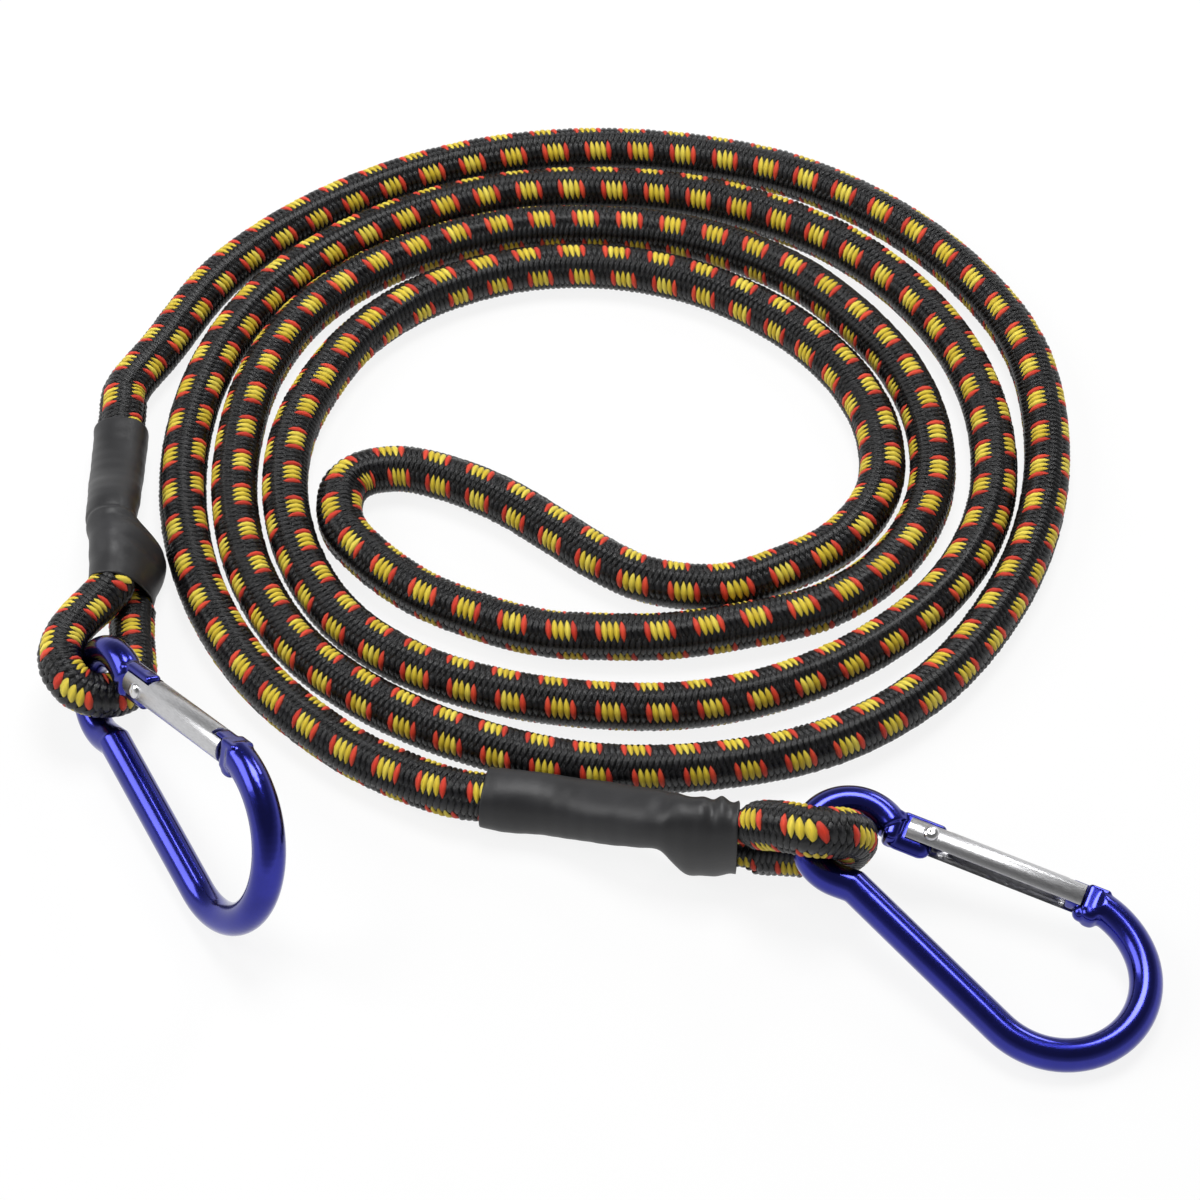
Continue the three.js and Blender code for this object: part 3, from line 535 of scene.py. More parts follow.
def sleeve(side, sections, folds, along_y, mouth_lean, skew_limit):
    """A sleeve along y or x. Its mouth can lean, and its rings turn with its bends up to a limit."""
    deselect_everything()
    bpy.ops.mesh.primitive_grid_add(x_subdivisions=SLEEVE_AROUND, y_subdivisions=SLEEVE_ALONG, size=2)
    piece = bpy.context.active_object
    piece.name = f"sleeve_{side}"
    flat = np.empty(len(piece.data.vertices) * 3)
    piece.data.vertices.foreach_get("co", flat)
    flat = flat.reshape(-1, 3)
    heading = np.sign(sections[-1, 0] - sections[0, 0])
    start, end = sections[0, 0] * heading, sections[-1, 0] * heading
    keys = start + (end - start) * (flat[:, 1] + 1) / 2
    rows = smooth_rows(sections, keys)
    angles = math.pi * (flat[:, 0] + 1)
    swell = fold_height(folds, rows[:, 0], angles)
    c, s = np.cos(angles), np.sin(angles)
    side_way = (rows[:, 3] + swell) * np.sign(c) * np.abs(c) ** (2 / BLUNTNESS)
    up_way = (rows[:, 4] + swell) * np.sign(s) * np.abs(s) ** (2 / BLUNTNESS)
    lean = np.radians(rows[:, 5])
    across = side_way * np.cos(lean) - up_way * np.sin(lean)
    height = np.maximum(rows[:, 2] + side_way * np.sin(lean) + up_way * np.cos(lean), RESTING_HEIGHT)
    slopes = np.clip(np.gradient(sections[:, 1], sections[:, 0]), -skew_limit, skew_limit)
    skew = np.interp(keys, sections[:, 0] * heading, slopes) * across
    lip = mouth_lean * (height - rows[:, 2]) / rows[:, 4] * smoothstep(keys, end - MOUTH_REACH, end) * heading
    if along_y:
        points = np.stack([rows[:, 1] - across, rows[:, 0] + skew + lip, height], axis=1)
    else:
        points = np.stack([rows[:, 0] - skew + lip, rows[:, 1] + across, height], axis=1)
    piece.data.vertices.foreach_set("co", ((points + AIM_MM) * MM).ravel())
    bpy.ops.object.mode_set(mode="EDIT")
    bpy.ops.mesh.select_all(action="SELECT")
    bpy.ops.mesh.remove_doubles(threshold=SEAM_MERGE)
    bpy.ops.mesh.normals_make_consistent(inside=False)
    bpy.ops.object.mode_set(mode="OBJECT")
    solidify = piece.modifiers.new("wall", "SOLIDIFY")
    solidify.thickness = SLEEVE_WALL * MM
    solidify.offset = -1
    apply_modifiers(piece)
    piece.data.shade_smooth()
    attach(piece, "cord")
    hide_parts(f"shrink_sleeve_{side}")
    return piece


sleeves = {
    "left": sleeve("left", LEFT_SECTIONS, LEFT_FOLDS, along_y=True, mouth_lean=2.4, skew_limit=0.05),
    "right": sleeve("right", RIGHT_SECTIONS, RIGHT_FOLDS, along_y=False, mouth_lean=0, skew_limit=0.4),
}
print("faces on a sleeve:", len(sleeves["left"].data.polygons))

# %% [markdown]
# ## The carabiner bodies
#
# A carabiner body is one bent aluminium rod. One end curls into a closed eye, and a short neck leads from there to a
# flattened block that carries the gate. The other end runs straight as the spine, turns round the bow and ends in a
# nose. It is modelled once, flat at the origin and in millimetres, and laid in place at each end of the cord.

# %% Sizes of the carabiner
ROD = 3.25
EYE_RADIUS = 8.8
EYE_CENTRE = (0, 6.3)
EYE_FROM = 70
EYE_TO = 297
NECK = 3.6
SPINE_START = 6.2
BOW_X = 46
BOW_RADIUS = 16.4
BOW_TO = 64
NOSE_BEND_RADIUS = 18.84
NOSE_BEND = 40
GATE_NEAR = Vector((5.3, 16.1, 0))
GATE_ANGLE = math.radians(24.99)
GATE_LENGTH = 35.75
FLAT_HALF = 2.5
TONGUE_HALF = 1.7
PLACES = {
    "left": (Vector((-99.2, -35.2, 5.7)), (49.4, -53.6, -37.9)),
    "right": (Vector((43.7, -75.7, 12.4)), (9.1, 3.6, -47.4)),
}


def set_down(side):
    """The matrix that puts a carabiner, made flat at the origin in millimetres, where it lies."""
    place, turned = PLACES[side]
    turn = Matrix.Identity(4)
    for degrees, axis in zip(turned, "XYZ"):
        turn = turn @ Matrix.Rotation(math.radians(degrees), 4, axis)
    return Matrix.Diagonal((MM, MM, MM, 1)) @ Matrix.Translation(place + Vector(AIM_MM)) @ turn


def on_gate(x, y=0.0, z=0.0):
    return GATE_NEAR + Matrix.Rotation(GATE_ANGLE, 3, "Z") @ Vector((x, y, z))


print("length of a gate:", GATE_LENGTH, "mm")

# %% [markdown]
# The rod is made as a smith would bend it. A circle of points is spun round each bend and extruded along each
# straight, so the rod keeps one thickness everywhere. Plates with round corners make the hinge block and the nose,
# and plain blocks are the tools that cut.

# %% Tools for rods, plates and cuts
ROD_SIDES = 32
ROD_MERGE = 0.0001
PLATE_EDGE = 0.3
FLAT_ENOUGH = 0.01


def rod_ring(centre, heading):
    """A circle of points square to the heading, ready to be spun or extruded."""
    deselect_everything()
    bpy.ops.mesh.primitive_circle_add(vertices=ROD_SIDES, radius=ROD, fill_type="NGON", location=(*centre, 0),
                                      rotation=(math.radians(90), 0, math.radians(heading - 90)))
    piece = bpy.context.active_object
    bpy.ops.object.mode_set(mode="EDIT")
    bpy.ops.mesh.select_all(action="SELECT")
    return piece


def bend(centre, degrees, steps):
    bpy.ops.mesh.spin(steps=steps, angle=math.radians(degrees), center=(*centre, 0), axis=(0, 0, -1))


def straight(heading, length, steps):
    step = Vector((math.cos(math.radians(heading)), math.sin(math.radians(heading)), 0)) * length / steps
    for _ in range(steps):
        bpy.ops.mesh.extrude_region_move(TRANSFORM_OT_translate={"value": step})


def plate_on_gate(from_x, to_x, from_y, to_y, half_thickness, corner):
    """A flat plate beside the gate, with round corners in plan and softened rims."""
    deselect_everything()
    middle = on_gate((from_x + to_x) / 2, (from_y + to_y) / 2)
    bpy.ops.mesh.primitive_cube_add(size=1, location=middle, rotation=(0, 0, GATE_ANGLE),
                                    scale=(to_x - from_x, to_y - from_y, 2 * half_thickness))
    piece = bpy.context.active_object
    bpy.ops.object.transform_apply(location=True, rotation=True, scale=True)
    for wanted, size, steps in (("upright", corner, 6), ("rim", PLATE_EDGE, 2)):
        for edge_of_plate in piece.data.edges:
            a, b = (piece.data.vertices[i].co for i in edge_of_plate.vertices)
            upright = abs(a.z - b.z) > half_thickness
            on_rim = abs(a.z - b.z) < FLAT_ENOUGH and abs(abs(a.z) - half_thickness) < FLAT_ENOUGH
            edge_of_plate.select = upright if wanted == "upright" else on_rim
        bpy.ops.object.mode_set(mode="EDIT")
        bpy.ops.mesh.select_mode(type="EDGE")
        bpy.ops.mesh.bevel(offset=size, segments=steps, affect="EDGES")
        bpy.ops.mesh.select_all(action="DESELECT")
        bpy.ops.object.mode_set(mode="OBJECT")
    return piece


def cut_with(piece, tool):
    cut = piece.modifiers.new("cut", "BOOLEAN")
    cut.operation = "DIFFERENCE"
    cut.solver = "EXACT"
    cut.object = tool
    apply_modifiers(piece)
    bpy.data.objects.remove(tool, do_unlink=True)


def cutter(from_x, to_x, from_y, to_y, from_z, to_z, slope=0.0):
    """A block that cuts, in the gate's own directions. With a slope, its far end leans away as it rises."""
    deselect_everything()
    size = Vector((to_x - from_x, to_y - from_y, to_z - from_z))
    middle = Vector((from_x + to_x, from_y + to_y, from_z + to_z)) / 2
    bpy.ops.mesh.primitive_cube_add(size=1, location=middle, scale=size)
    tool = bpy.context.active_object
    bpy.ops.object.transform_apply(location=True, rotation=True, scale=True)
    for v in tool.data.vertices:
        outward = abs(v.co.z) > abs(middle.z)
        if outward and v.co.x > middle.x:
            v.co.x += slope
    return tool


def join_pieces(parts, name):
    deselect_everything()
    for part in parts:
        part.select_set(True)
    bpy.context.view_layer.objects.active = parts[0]
    bpy.ops.object.join()
    piece = bpy.context.active_object
    piece.name = name
    return piece


print("a rod has", ROD_SIDES, "sides, and a plate's rim is rounded by", PLATE_EDGE, "mm")

# %% [markdown]
# The eye and its neck are one bent rod, and the spine, the bow and the nose are another. The nose end gets two sloped
# flats, as the press leaves them. The hinge block, the nose and the thin tongue that reaches into the gate are plates
# that run into the rods. A voxel remesh fuses them all, and a smoothing pass rounds every edge as tumbling and
# anodising do.

# %% Bend one carabiner body
VOXEL = 0.25
TUMBLE_SHARE = 0.5
TUMBLE_PASSES = 7
FLATS_FROM, FLATS_TO = 30, 38.4
FLATS_WIDE = 6
FLATS_DEEP = 2
FLATS_SLOPE = 4.2
# from and to along the gate, from and to across it, half thickness, corner
HINGE_PLATES = [(-4.2, -1.1, -3.9, 3.1, FLAT_HALF, 1.2), (-3.4, 5.6, -4.6, 3.6, TONGUE_HALF, 2.2),
                (-2, 7, 0, 3.5, TONGUE_HALF, 0.9)]
NOSE_PLATES = [(36.1, 40.6, -3, 2.9, FLAT_HALF, 0.5), (36.1, 40, -4.6, 0, FLAT_HALF, 1.7),
               (34.7, 38, -4.5, 0, TONGUE_HALF, 1.6), (32.7, 37, -2.2, 2.9, TONGUE_HALF, 0.6)]


def eye_point(degrees):
    turn = math.radians(degrees)
    return (EYE_CENTRE[0] + EYE_RADIUS * math.cos(turn), EYE_CENTRE[1] + EYE_RADIUS * math.sin(turn))


def finish_rod():
    bpy.ops.object.mode_set(mode="OBJECT")
    bpy.ops.object.transform_apply(location=True, rotation=True, scale=True)
    bpy.ops.object.mode_set(mode="EDIT")
    bpy.ops.mesh.select_all(action="SELECT")
    bpy.ops.mesh.remove_doubles(threshold=ROD_MERGE)
    bpy.ops.mesh.normals_make_consistent(inside=False)
    bpy.ops.object.mode_set(mode="OBJECT")


def bent_body():
    eye = rod_ring(eye_point(EYE_FROM), EYE_FROM + 90)
    bend(EYE_CENTRE, EYE_TO - EYE_FROM, steps=40)
    straight(EYE_TO + 90, NECK, steps=2)
    finish_rod()
    spine = rod_ring((SPINE_START, 0), 0)
    straight(0, BOW_X - SPINE_START, steps=12)
    bend((BOW_X, BOW_RADIUS), 90 + BOW_TO, steps=36)
    turn = math.radians(BOW_TO)
    inward = math.radians(BOW_TO + 180)
    bow_end = Vector((BOW_X + BOW_RADIUS * math.cos(turn), BOW_RADIUS + BOW_RADIUS * math.sin(turn)))
    nose_centre = bow_end + NOSE_BEND_RADIUS * Vector((math.cos(inward), math.sin(inward)))
    bend(nose_centre, NOSE_BEND, steps=12)
    finish_rod()
    for end in (-1, 1):
        levels = sorted((end * FLAT_HALF, end * (FLAT_HALF + FLATS_DEEP)))
        tool = cutter(FLATS_FROM, FLATS_TO, -FLATS_WIDE, FLATS_WIDE, *levels, slope=FLATS_SLOPE)
        tool.data.transform(Matrix.Translation(GATE_NEAR) @ Matrix.Rotation(GATE_ANGLE, 4, "Z"))
        cut_with(spine, tool)
    print("rod boxes:", [[round(c, 1) for c in part.dimensions] for part in (eye, spine)])
    plates = [plate_on_gate(*sizes) for sizes in HINGE_PLATES + NOSE_PLATES]
    piece = join_pieces([eye, spine, *plates], "carabiner_body")
    remesh = piece.modifiers.new("fuse", "REMESH")
    remesh.mode = "VOXEL"
    remesh.voxel_size = VOXEL
    smooth = piece.modifiers.new("tumble", "SMOOTH")
    smooth.factor = TUMBLE_SHARE
    smooth.iterations = TUMBLE_PASSES
    apply_modifiers(piece)
    return piece


flat_body = bent_body()
print("faces on the flat body:", len(flat_body.data.polygons))

# %% [markdown]
# Both carabiners are the same, so the flat one is copied and each copy is turned and moved to its end of the cord.
# Before that, the flat places are kept as a UV map.

# %% Lay the bodies in place
CM_PER_MM = 0.1


def write_flat_uv(piece):
    """Keeps the flat carabiner's own places, in centimetres, for finishes that follow the metal."""
    uv = piece.data.uv_layers.new(name="flat")
    points = np.array([v.co[:2] for v in piece.data.vertices]) * CM_PER_MM
    corner = np.empty(len(piece.data.loops), dtype=int)
    piece.data.loops.foreach_get("vertex_index", corner)
    uv.data.foreach_set("uv", points[corner].astype(np.float32).ravel())


def lay_copies(pattern, name, body, node):
    """Each end's own copy of a flat piece, laid in place."""
    laid = {}
    for side in SIDES:
        copy = pattern.copy()
        copy.data = pattern.data.copy()
        copy.name = f"{name}_{side}"
        bpy.context.scene.collection.objects.link(copy)
        copy.data.transform(set_down(side))
        copy.data.update()
        copy.data.shade_smooth()
        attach(copy, f"{body}_{side}")
        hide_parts(f"{node}_{side}")
        laid[side] = copy
    bpy.data.objects.remove(pattern, do_unlink=True)
    return laid


write_flat_uv(flat_body)
bodies = lay_copies(flat_body, "bent_body", "carabiner", "carabiner_body")
print("faces on a carabiner body:", len(bodies["left"].data.polygons))

# %% [markdown]
# ## The gates
#
# The gate is aluminium sheet rolled into a tube that stays open towards the spine. At both ends its back is cut away
# too, for the hinge block and for the nose. It could be drawn as a section and swept, but cutting a short tube with a
# few blocks follows what the press does, and each cut can be read by itself. The edges get small roundings.

# %% Roll one gate
GATE_RADIUS = 3.05
GATE_SHEET = 0.75
SLOT_HALF = 2.0
LIP = 2.4
HINGE_OPENING = 8
NOSE_OPENING = 3.7
OVERRUN = 1
WIDE = 4
EDGE_ROUNDING = 0.12
SHARP = math.radians(40)
SMOOTH_UP_TO = math.radians(32)


def gate_rod(radius, overrun):
    deselect_everything()
    bpy.ops.mesh.primitive_cylinder_add(vertices=72, radius=radius, depth=GATE_LENGTH + 2 * overrun,
                                        location=(GATE_LENGTH / 2, 0, 0), rotation=(0, math.radians(90), 0))
    bpy.ops.object.transform_apply(location=True, rotation=True, scale=True)
    return bpy.context.active_object


def rolled_gate():
    piece = gate_rod(GATE_RADIUS, 0)
    past_end = GATE_LENGTH + OVERRUN
    cut_with(piece, gate_rod(GATE_RADIUS - GATE_SHEET, OVERRUN))
    cut_with(piece, cutter(-OVERRUN, past_end, -WIDE, 0, -SLOT_HALF, SLOT_HALF))
    cut_with(piece, cutter(-OVERRUN, past_end, -WIDE, -LIP, -WIDE, WIDE))
    cut_with(piece, cutter(-OVERRUN, HINGE_OPENING, -WIDE, WIDE, -SLOT_HALF, SLOT_HALF))
    cut_with(piece, cutter(GATE_LENGTH - NOSE_OPENING, past_end, -WIDE, WIDE, -SLOT_HALF, SLOT_HALF))
    bevel = piece.modifiers.new("edges", "BEVEL")
    bevel.width = EDGE_ROUNDING
    bevel.segments = 2
    bevel.limit_method = "ANGLE"
    bevel.angle_limit = SHARP
    apply_modifiers(piece)
    write_flat_uv(piece)
    piece.data.transform(Matrix.Translation(GATE_NEAR) @ Matrix.Rotation(GATE_ANGLE, 4, "Z"))
    return piece


gates = lay_copies(rolled_gate(), "gate_channel", "gate", "gate")
for gate in gates.values():
    deselect_everything()
    gate.select_set(True)
    bpy.context.view_layer.objects.active = gate
    bpy.ops.object.shade_smooth_by_angle(angle=SMOOTH_UP_TO)
print("faces on a gate:", len(gates["left"].data.polygons))

# %% [markdown]
# ## The rivets
#
# A rivet runs through the gate and the hinge block and is headed on both sides. Each head is a low dome with a
# shallow dimple from the punch, so a flattened sphere is pressed in at its pole.

# %% Head one rivet
RIVET_AT = 4.5
RIVET_HEAD = 1.6
RIVET_DOME = 0.85
RIVET_SEAT = 2.9
SHANK_RADIUS = 1
DIMPLE_RADIUS = 0.75
DIMPLE_DEPTH = 0.14


def headed_rivet():
    parts = []
    for end in (-1, 1):
        deselect_everything()
        bpy.ops.mesh.primitive_uv_sphere_add(segments=32, ring_count=20, radius=1)
        head = bpy.context.active_object
        head.scale = (RIVET_HEAD, RIVET_HEAD, RIVET_DOME)
        head.location = (0, 0, end * RIVET_SEAT)
        bpy.ops.object.transform_apply(location=True, rotation=True, scale=True)
        for v in head.data.vertices:
            reach = math.hypot(v.co.x, v.co.y)
            if abs(v.co.z) > RIVET_SEAT and reach < DIMPLE_RADIUS:
                v.co.z -= end * DIMPLE_DEPTH * (1 - (reach / DIMPLE_RADIUS) ** 2) ** 2
        parts.append(head)
    deselect_everything()
    bpy.ops.mesh.primitive_cylinder_add(vertices=24, radius=SHANK_RADIUS, depth=2 * RIVET_SEAT)
    parts.append(bpy.context.active_object)
    piece = join_pieces(parts, "rivet")
    piece.data.transform(Matrix.Translation(on_gate(RIVET_AT)))
    return piece


rivets = lay_copies(headed_rivet(), "headed_rivet", "carabiner", "gate_rivet")
print("faces on a rivet:", len(rivets["left"].data.polygons))

# %% [markdown]
# ## Which piece moves with which body
#
# The cord, its braid and the sleeves are one body. Each carabiner is a body with its rivet, and each gate is a body
# with its spring.

# %% Tie the cord to its body
CORD_NODES = ("coil_sheath", "coil_core", "eye_sheath_left", "eye_core_left", "eye_sheath_right", "eye_core_right")

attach(cord_tube, "cord")
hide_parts(*CORD_NODES)
for piece in braid.values():
    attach(piece, "cord")
print("cord declared:", round(CORD_LENGTH * MM, 3), "m")

# %% [markdown]
# ## Finishes
#
# Every finish is built from nodes. The threads read two things that were stored with them: where a point lies on its
# own thread, which gives the fine filaments, and a number for each thread, which makes some a little lighter than
# others.

# %% Small helpers for the finishes
def finish(name, rough, metal=0.0):
    """A new material with its shader, ready for its texture nodes."""
    material = bpy.data.materials.new(name)
    material.use_nodes = True
    nodes, links = material.node_tree.nodes, material.node_tree.links
    shader = nodes["Principled BSDF"]
    shader.inputs["Roughness"].default_value = rough
    shader.inputs["Metallic"].default_value = metal
    return material, nodes, links, shader


def ramp(nodes, links, source, stops):
    node = nodes.new("ShaderNodeValToRGB")
    node.color_ramp.elements[0].position, node.color_ramp.elements[0].color = stops[0][0], (*stops[0][1], 1)
    node.color_ramp.elements[1].position, node.color_ramp.elements[1].color = stops[-1][0], (*stops[-1][1], 1)
    for spot, colour in stops[1:-1]:
        element = node.color_ramp.elements.new(spot)
        element.color = (*colour, 1)
    links.new(source, node.inputs["Fac"])
    return node.outputs["Color"]


def noise(nodes, links, vector, scale, detail=4.0, rough=0.5):
    node = nodes.new("ShaderNodeTexNoise")
    node.inputs["Scale"].default_value = scale
    node.inputs["Detail"].default_value = detail
    node.inputs["Roughness"].default_value = rough
    links.new(vector, node.inputs["Vector"])
    return node.outputs["Fac"]


def stretched(nodes, links, vector, scale):
    node = nodes.new("ShaderNodeMapping")
    node.inputs["Scale"].default_value = scale
    links.new(vector, node.inputs["Vector"])
    return node.outputs["Vector"]


def uv_places(nodes, name):
    node = nodes.new("ShaderNodeUVMap")
    node.uv_map = name
    return node.outputs["UV"]


def object_places(nodes):
    return nodes.new("ShaderNodeTexCoord").outputs["Object"]


def bump(nodes, links, shader, height, strength, distance):
    node = nodes.new("ShaderNodeBump")
    node.inputs["Strength"].default_value = strength
    node.inputs["Distance"].default_value = distance
    links.new(height, node.inputs["Height"])
    links.new(node.outputs["Normal"], shader.inputs["Normal"])


def scaled(nodes, links, value, low, high):
    node = nodes.new("ShaderNodeMapRange")
    node.inputs["To Min"].default_value = low
    node.inputs["To Max"].default_value = high
    links.new(value, node.inputs["Value"])
    return node.outputs["Result"]


def blend_colours(nodes, links, kind, share, first, second):
    node = nodes.new("ShaderNodeMix")
    node.data_type = "RGBA"
    node.blend_type = kind
    node.inputs["Factor"].default_value = share
    links.new(first, node.inputs[6])
    links.new(second, node.inputs[7])
    return node.outputs[2]


print("helpers: finish, ramp, noise, stretched, uv_places, object_places, bump, scaled, blend_colours")

# %% [markdown]
# The threads are bundles of fine shiny filaments. The filaments are drawn as thin stripes along each thread, as bump
# and as a little change of shade.
# Both edges of a thread are painted darker than its crown. This is painted shade for where they pass under the
# threads beside it and little light gets there. The coloured threads are duller than the black ones.

# %% Thread finish
EDGE_SHADE = (0.45, 0.45, 0.45)
SIDE_SHADE = (0.85, 0.85, 0.85)
CROWN_SHADE = (1, 1, 1)


def thread(name, shades, rough, sheen, gloss=0.3):
    material, nodes, links, shader = finish(name, rough)
    places = uv_places(nodes, "thread")
    filaments = noise(nodes, links, stretched(nodes, links, places, (0.8, 5, 1)), 2.0, 3.0)
    tone = nodes.new("ShaderNodeAttribute")
    tone.attribute_name = "tone"
    lightness = ramp(nodes, links, tone.outputs["Fac"], [(0, shades[0]), (0.5, shades[1]), (1, shades[2])])
    stripes = ramp(nodes, links, filaments, [(0.3, (0.7, 0.7, 0.7)), (0.65, (1, 1, 1))])
    apart = nodes.new("ShaderNodeSeparateXYZ")
    links.new(places, apart.inputs[0])
    # painted shade: this ramp darkens both edges of each thread, where it passes under its neighbours
    painted_edge_shade = ramp(nodes, links, apart.outputs["Y"], [(0, EDGE_SHADE), (0.25, SIDE_SHADE), (0.5, CROWN_SHADE),
                                                   (0.75, SIDE_SHADE), (1, EDGE_SHADE)])
    striped = blend_colours(nodes, links, "MULTIPLY", 1.0, lightness, stripes)
    links.new(blend_colours(nodes, links, "MULTIPLY", 1.0, striped, painted_edge_shade), shader.inputs["Base Color"])
    links.new(scaled(nodes, links, filaments, rough - 0.1, rough + 0.12), shader.inputs["Roughness"])
    shader.inputs["Sheen Weight"].default_value = sheen
    shader.inputs["Specular IOR Level"].default_value = gloss
    bump(nodes, links, shader, filaments, 0.7, 0.0003)
    return material


thread_finishes = {
    "braid_red": thread("thread_red", [(0.68, 0.035, 0.012), (0.82, 0.05, 0.018), (0.92, 0.08, 0.03)], 0.5, 0.1),
    "braid_yellow": thread("thread_yellow", [(0.76, 0.55, 0.025), (0.9, 0.68, 0.04), (1, 0.82, 0.1)], 0.5, 0.1),
    "braid_black_one": thread("thread_black", [(0.003, 0.003, 0.0035), (0.006, 0.006, 0.007), (0.011, 0.011, 0.013)],
                              0.22, 0.0, 0.42),
}
thread_finishes["braid_black_two"] = thread_finishes["braid_black_one"]
for name, piece in braid.items():
    piece.data.materials.append(thread_finishes[name])


def cord_body_finish():
    material, nodes, links, shader = finish("cord_body", 0.7)
    grain = noise(nodes, links, object_places(nodes), 900, 3)
    links.new(ramp(nodes, links, grain, [(0.3, (0.003, 0.003, 0.0035)), (0.7, (0.008, 0.008, 0.009))]),
              shader.inputs["Base Color"])
    bump(nodes, links, shader, grain, 0.4, 0.0002)
    return material


cord_tube.data.materials.append(cord_body_finish())
print("thread finishes:", len(thread_finishes))

# %% [markdown]
# The sleeve is soft black plastic that has gone grey where it is stretched. It is neither matt nor glossy: broad
# cloudy patches are a little shinier, and a fine orange-peel grain breaks the light.

# %% Sleeve finish
def sleeve_finish():
    material, nodes, links, shader = finish("shrunk_plastic", 0.45)
    places = object_places(nodes)
    clouds = noise(nodes, links, places, 90, 5)
    grain = noise(nodes, links, places, 1400, 3)
    links.new(ramp(nodes, links, clouds, [(0.3, (0.013, 0.013, 0.014)), (0.7, (0.021, 0.021, 0.023))]),
              shader.inputs["Base Color"])
    links.new(scaled(nodes, links, clouds, 0.36, 0.56), shader.inputs["Roughness"])
    shader.inputs["Specular IOR Level"].default_value = 0.4
    bump(nodes, links, shader, grain, 0.25, 0.0001)
    return material


plastic = sleeve_finish()
for piece in sleeves.values():
    piece.data.materials.append(plastic)
print("sleeve finish:", plastic.name)

# %% [markdown]
# The carabiner bodies are anodised: the metal is dyed deep blue under a hard clear skin, so its reflections are blue
# and the brightest highlights are paler. The dye is not quite even, and fine draw marks run along the rod.

# %% Anodised finish
def anodised_finish():
    material, nodes, links, shader = finish("blue_anodised", 0.2, 1.0)
    clouds = noise(nodes, links, object_places(nodes), 120, 4)
    marks = noise(nodes, links, object_places(nodes), 1500, 4)
    links.new(ramp(nodes, links, clouds, [(0.3, (0.013, 0.016, 0.21)), (0.7, (0.02, 0.024, 0.29))]),
              shader.inputs["Base Color"])
    links.new(scaled(nodes, links, marks, 0.14, 0.27), shader.inputs["Roughness"])
    shader.inputs["Coat Weight"].default_value = 0.5
    shader.inputs["Coat Roughness"].default_value = 0.12
    bump(nodes, links, shader, marks, 0.06, 0.0001)
    return material


def dress(piece, material):
    piece.data.materials.clear()
    piece.data.materials.append(material)


anodised = anodised_finish()
for piece in bodies.values():
    dress(piece, anodised)
print("body finish:", anodised.name)

# %% [markdown]
# The gates are bare rolled aluminium. Rolling leaves fine lines along the strip, and handling leaves small pits, so
# the grey is streaked along its length and speckled. The rivets are bright steel, and so are the crimp bands, springs
# and plungers, which keep the shape of their solids.

# %% Rolled aluminium and steel
def gate_finish():
    material, nodes, links, shader = finish("rolled_aluminium", 0.3, 1.0)
    places = uv_places(nodes, "flat")
    streaks = noise(nodes, links, stretched(nodes, links, places, (1, 24, 1)), 6, 6, 0.6)
    pits = noise(nodes, links, places, 60, 2)
    shade = ramp(nodes, links, streaks, [(0.3, (0.4, 0.4, 0.41)), (0.7, (0.66, 0.66, 0.67))])
    speck = ramp(nodes, links, pits, [(0.28, (0.6, 0.6, 0.6)), (0.4, (1, 1, 1))])
    links.new(blend_colours(nodes, links, "MULTIPLY", 1.0, shade, speck), shader.inputs["Base Color"])
    links.new(scaled(nodes, links, streaks, 0.22, 0.42), shader.inputs["Roughness"])
    bump(nodes, links, shader, streaks, 0.12, 0.0001)
    return material


def steel_finish():
    material, nodes, links, shader = finish("bright_steel", 0.2, 1.0)
    grain = noise(nodes, links, object_places(nodes), 700, 4)
    links.new(ramp(nodes, links, grain, [(0.3, (0.55, 0.55, 0.56)), (0.7, (0.78, 0.78, 0.79))]),
              shader.inputs["Base Color"])
    links.new(scaled(nodes, links, grain, 0.14, 0.3), shader.inputs["Roughness"])
    return material


rolled = gate_finish()
steel = steel_finish()
for side in SIDES:
    dress(gates[side], rolled)
    dress(rivets[side], steel)
    for kind in ("crimp_band", "gate_spring", "spring_plunger"):
        dress(frame["nodes"][f"{kind}_{side}"], steel)
print("finishes:", [m.name for m in bpy.data.materials])

# %% [markdown]
# ## Floor and light
#
# The cord lies on a white table in soft daylight from above. The floor looks nearly white to the camera and in the
# metal's reflections, and keeps a faint shadow. Its colour does that, so the lamps can stay at a plain level and the
# blacks and blues keep their depth.

# %% Floor
FLOOR_SIZE = 6
FLOOR_WHITE_SHARE = 0.8
FLOOR_WHITE_STRENGTH = 1.08

deselect_everything()
bpy.ops.mesh.primitive_plane_add(size=FLOOR_SIZE, location=(0, 0, 0))
floor = bpy.context.active_object
floor.name = "floor"


def seen_directly(nodes, links):
    """1 for what the camera, gloss and glass look at, and 0 for the light that falls on things."""
    path = nodes.new("ShaderNodeLightPath")
    first = nodes.new("ShaderNodeMath")
    first.operation = "MAXIMUM"
    links.new(path.outputs["Is Camera Ray"], first.inputs[0])
    links.new(path.outputs["Is Glossy Ray"], first.inputs[1])
    second = nodes.new("ShaderNodeMath")
    second.operation = "MAXIMUM"
    links.new(first.outputs[0], second.inputs[0])
    links.new(path.outputs["Is Transmission Ray"], second.inputs[1])
    return second.outputs[0]


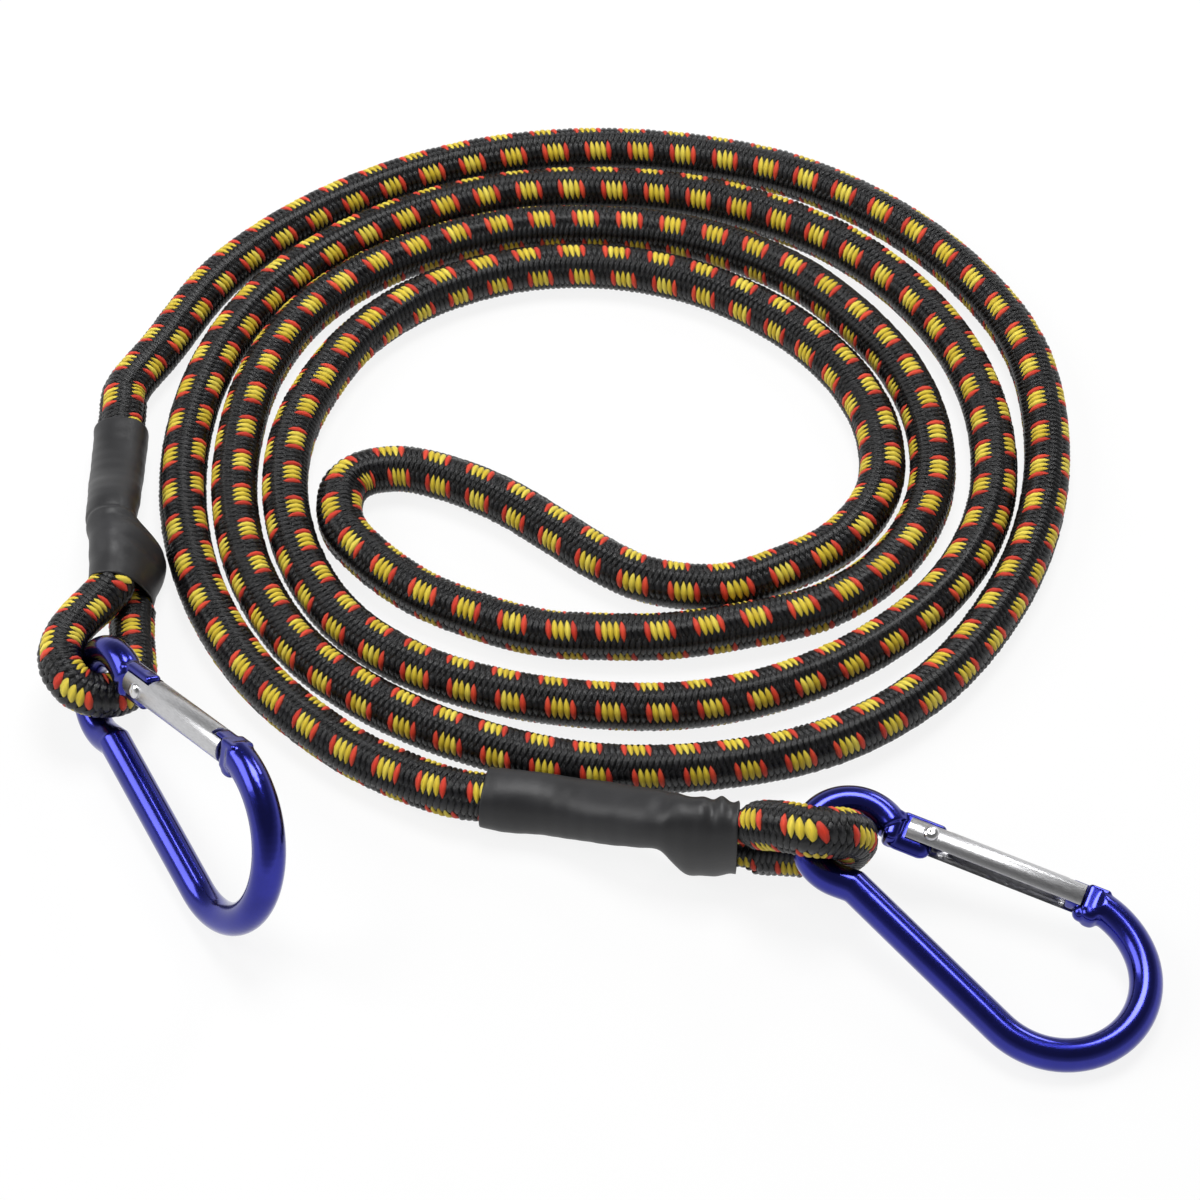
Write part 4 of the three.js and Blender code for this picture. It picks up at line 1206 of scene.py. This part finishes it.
def floor_finish():
    material, nodes, links, shader = finish("white_floor", 0.9)
    grain = noise(nodes, links, object_places(nodes), 40, 3)
    links.new(ramp(nodes, links, grain, [(0.3, (0.55, 0.55, 0.55)), (0.7, (0.57, 0.57, 0.57))]),
              shader.inputs["Base Color"])
    white = nodes.new("ShaderNodeEmission")
    white.inputs["Strength"].default_value = FLOOR_WHITE_STRENGTH
    share = nodes.new("ShaderNodeMath")
    share.operation = "MULTIPLY"
    share.inputs[1].default_value = FLOOR_WHITE_SHARE
    links.new(seen_directly(nodes, links), share.inputs[0])
    mixed = nodes.new("ShaderNodeMixShader")
    links.new(share.outputs[0], mixed.inputs[0])
    links.new(shader.outputs[0], mixed.inputs[1])
    links.new(white.outputs[0], mixed.inputs[2])
    links.new(mixed.outputs[0], nodes["Material Output"].inputs["Surface"])
    return material


floor.data.materials.append(floor_finish())
print("floor:", FLOOR_SIZE, "m wide")

# %% [markdown]
# Shiny things show the room, so the room matters as much as the lamps. It is white all round at the height of the
# table and dims towards the ceiling. That gives the rods and the gates a dark core between bright edges, and keeps
# the black threads black.

# %% Surroundings and lamps
# name, place, size in metres, power in watts
LAMPS = [("softbox_top", (0.05, 0.4, 1.1), 0.5, 10), ("softbox_left", (-0.85, 0.1, 0.75), 0.6, 6),
         ("softbox_back", (0.55, 0.85, 0.7), 0.25, 2)]

world = bpy.data.worlds.new("room")
bpy.context.scene.world = world
world.use_nodes = True
room_nodes, room_links = world.node_tree.nodes, world.node_tree.links
apart = room_nodes.new("ShaderNodeSeparateXYZ")
room_links.new(room_nodes.new("ShaderNodeTexCoord").outputs["Generated"], apart.inputs[0])
room_links.new(ramp(room_nodes, room_links, apart.outputs["Z"],
                    [(0.1, (1, 1, 1)), (0.3, (0.45, 0.45, 0.45)), (0.7, (0.15, 0.15, 0.15))]),
               room_nodes["Background"].inputs["Color"])

for name, place, size, power in LAMPS:
    bpy.ops.object.light_add(type="AREA", location=place)
    light = bpy.context.active_object
    light.name = name
    light.data.energy = power
    light.data.size = size
    light.rotation_euler = (-light.location).to_track_quat("-Z", "Y").to_euler()
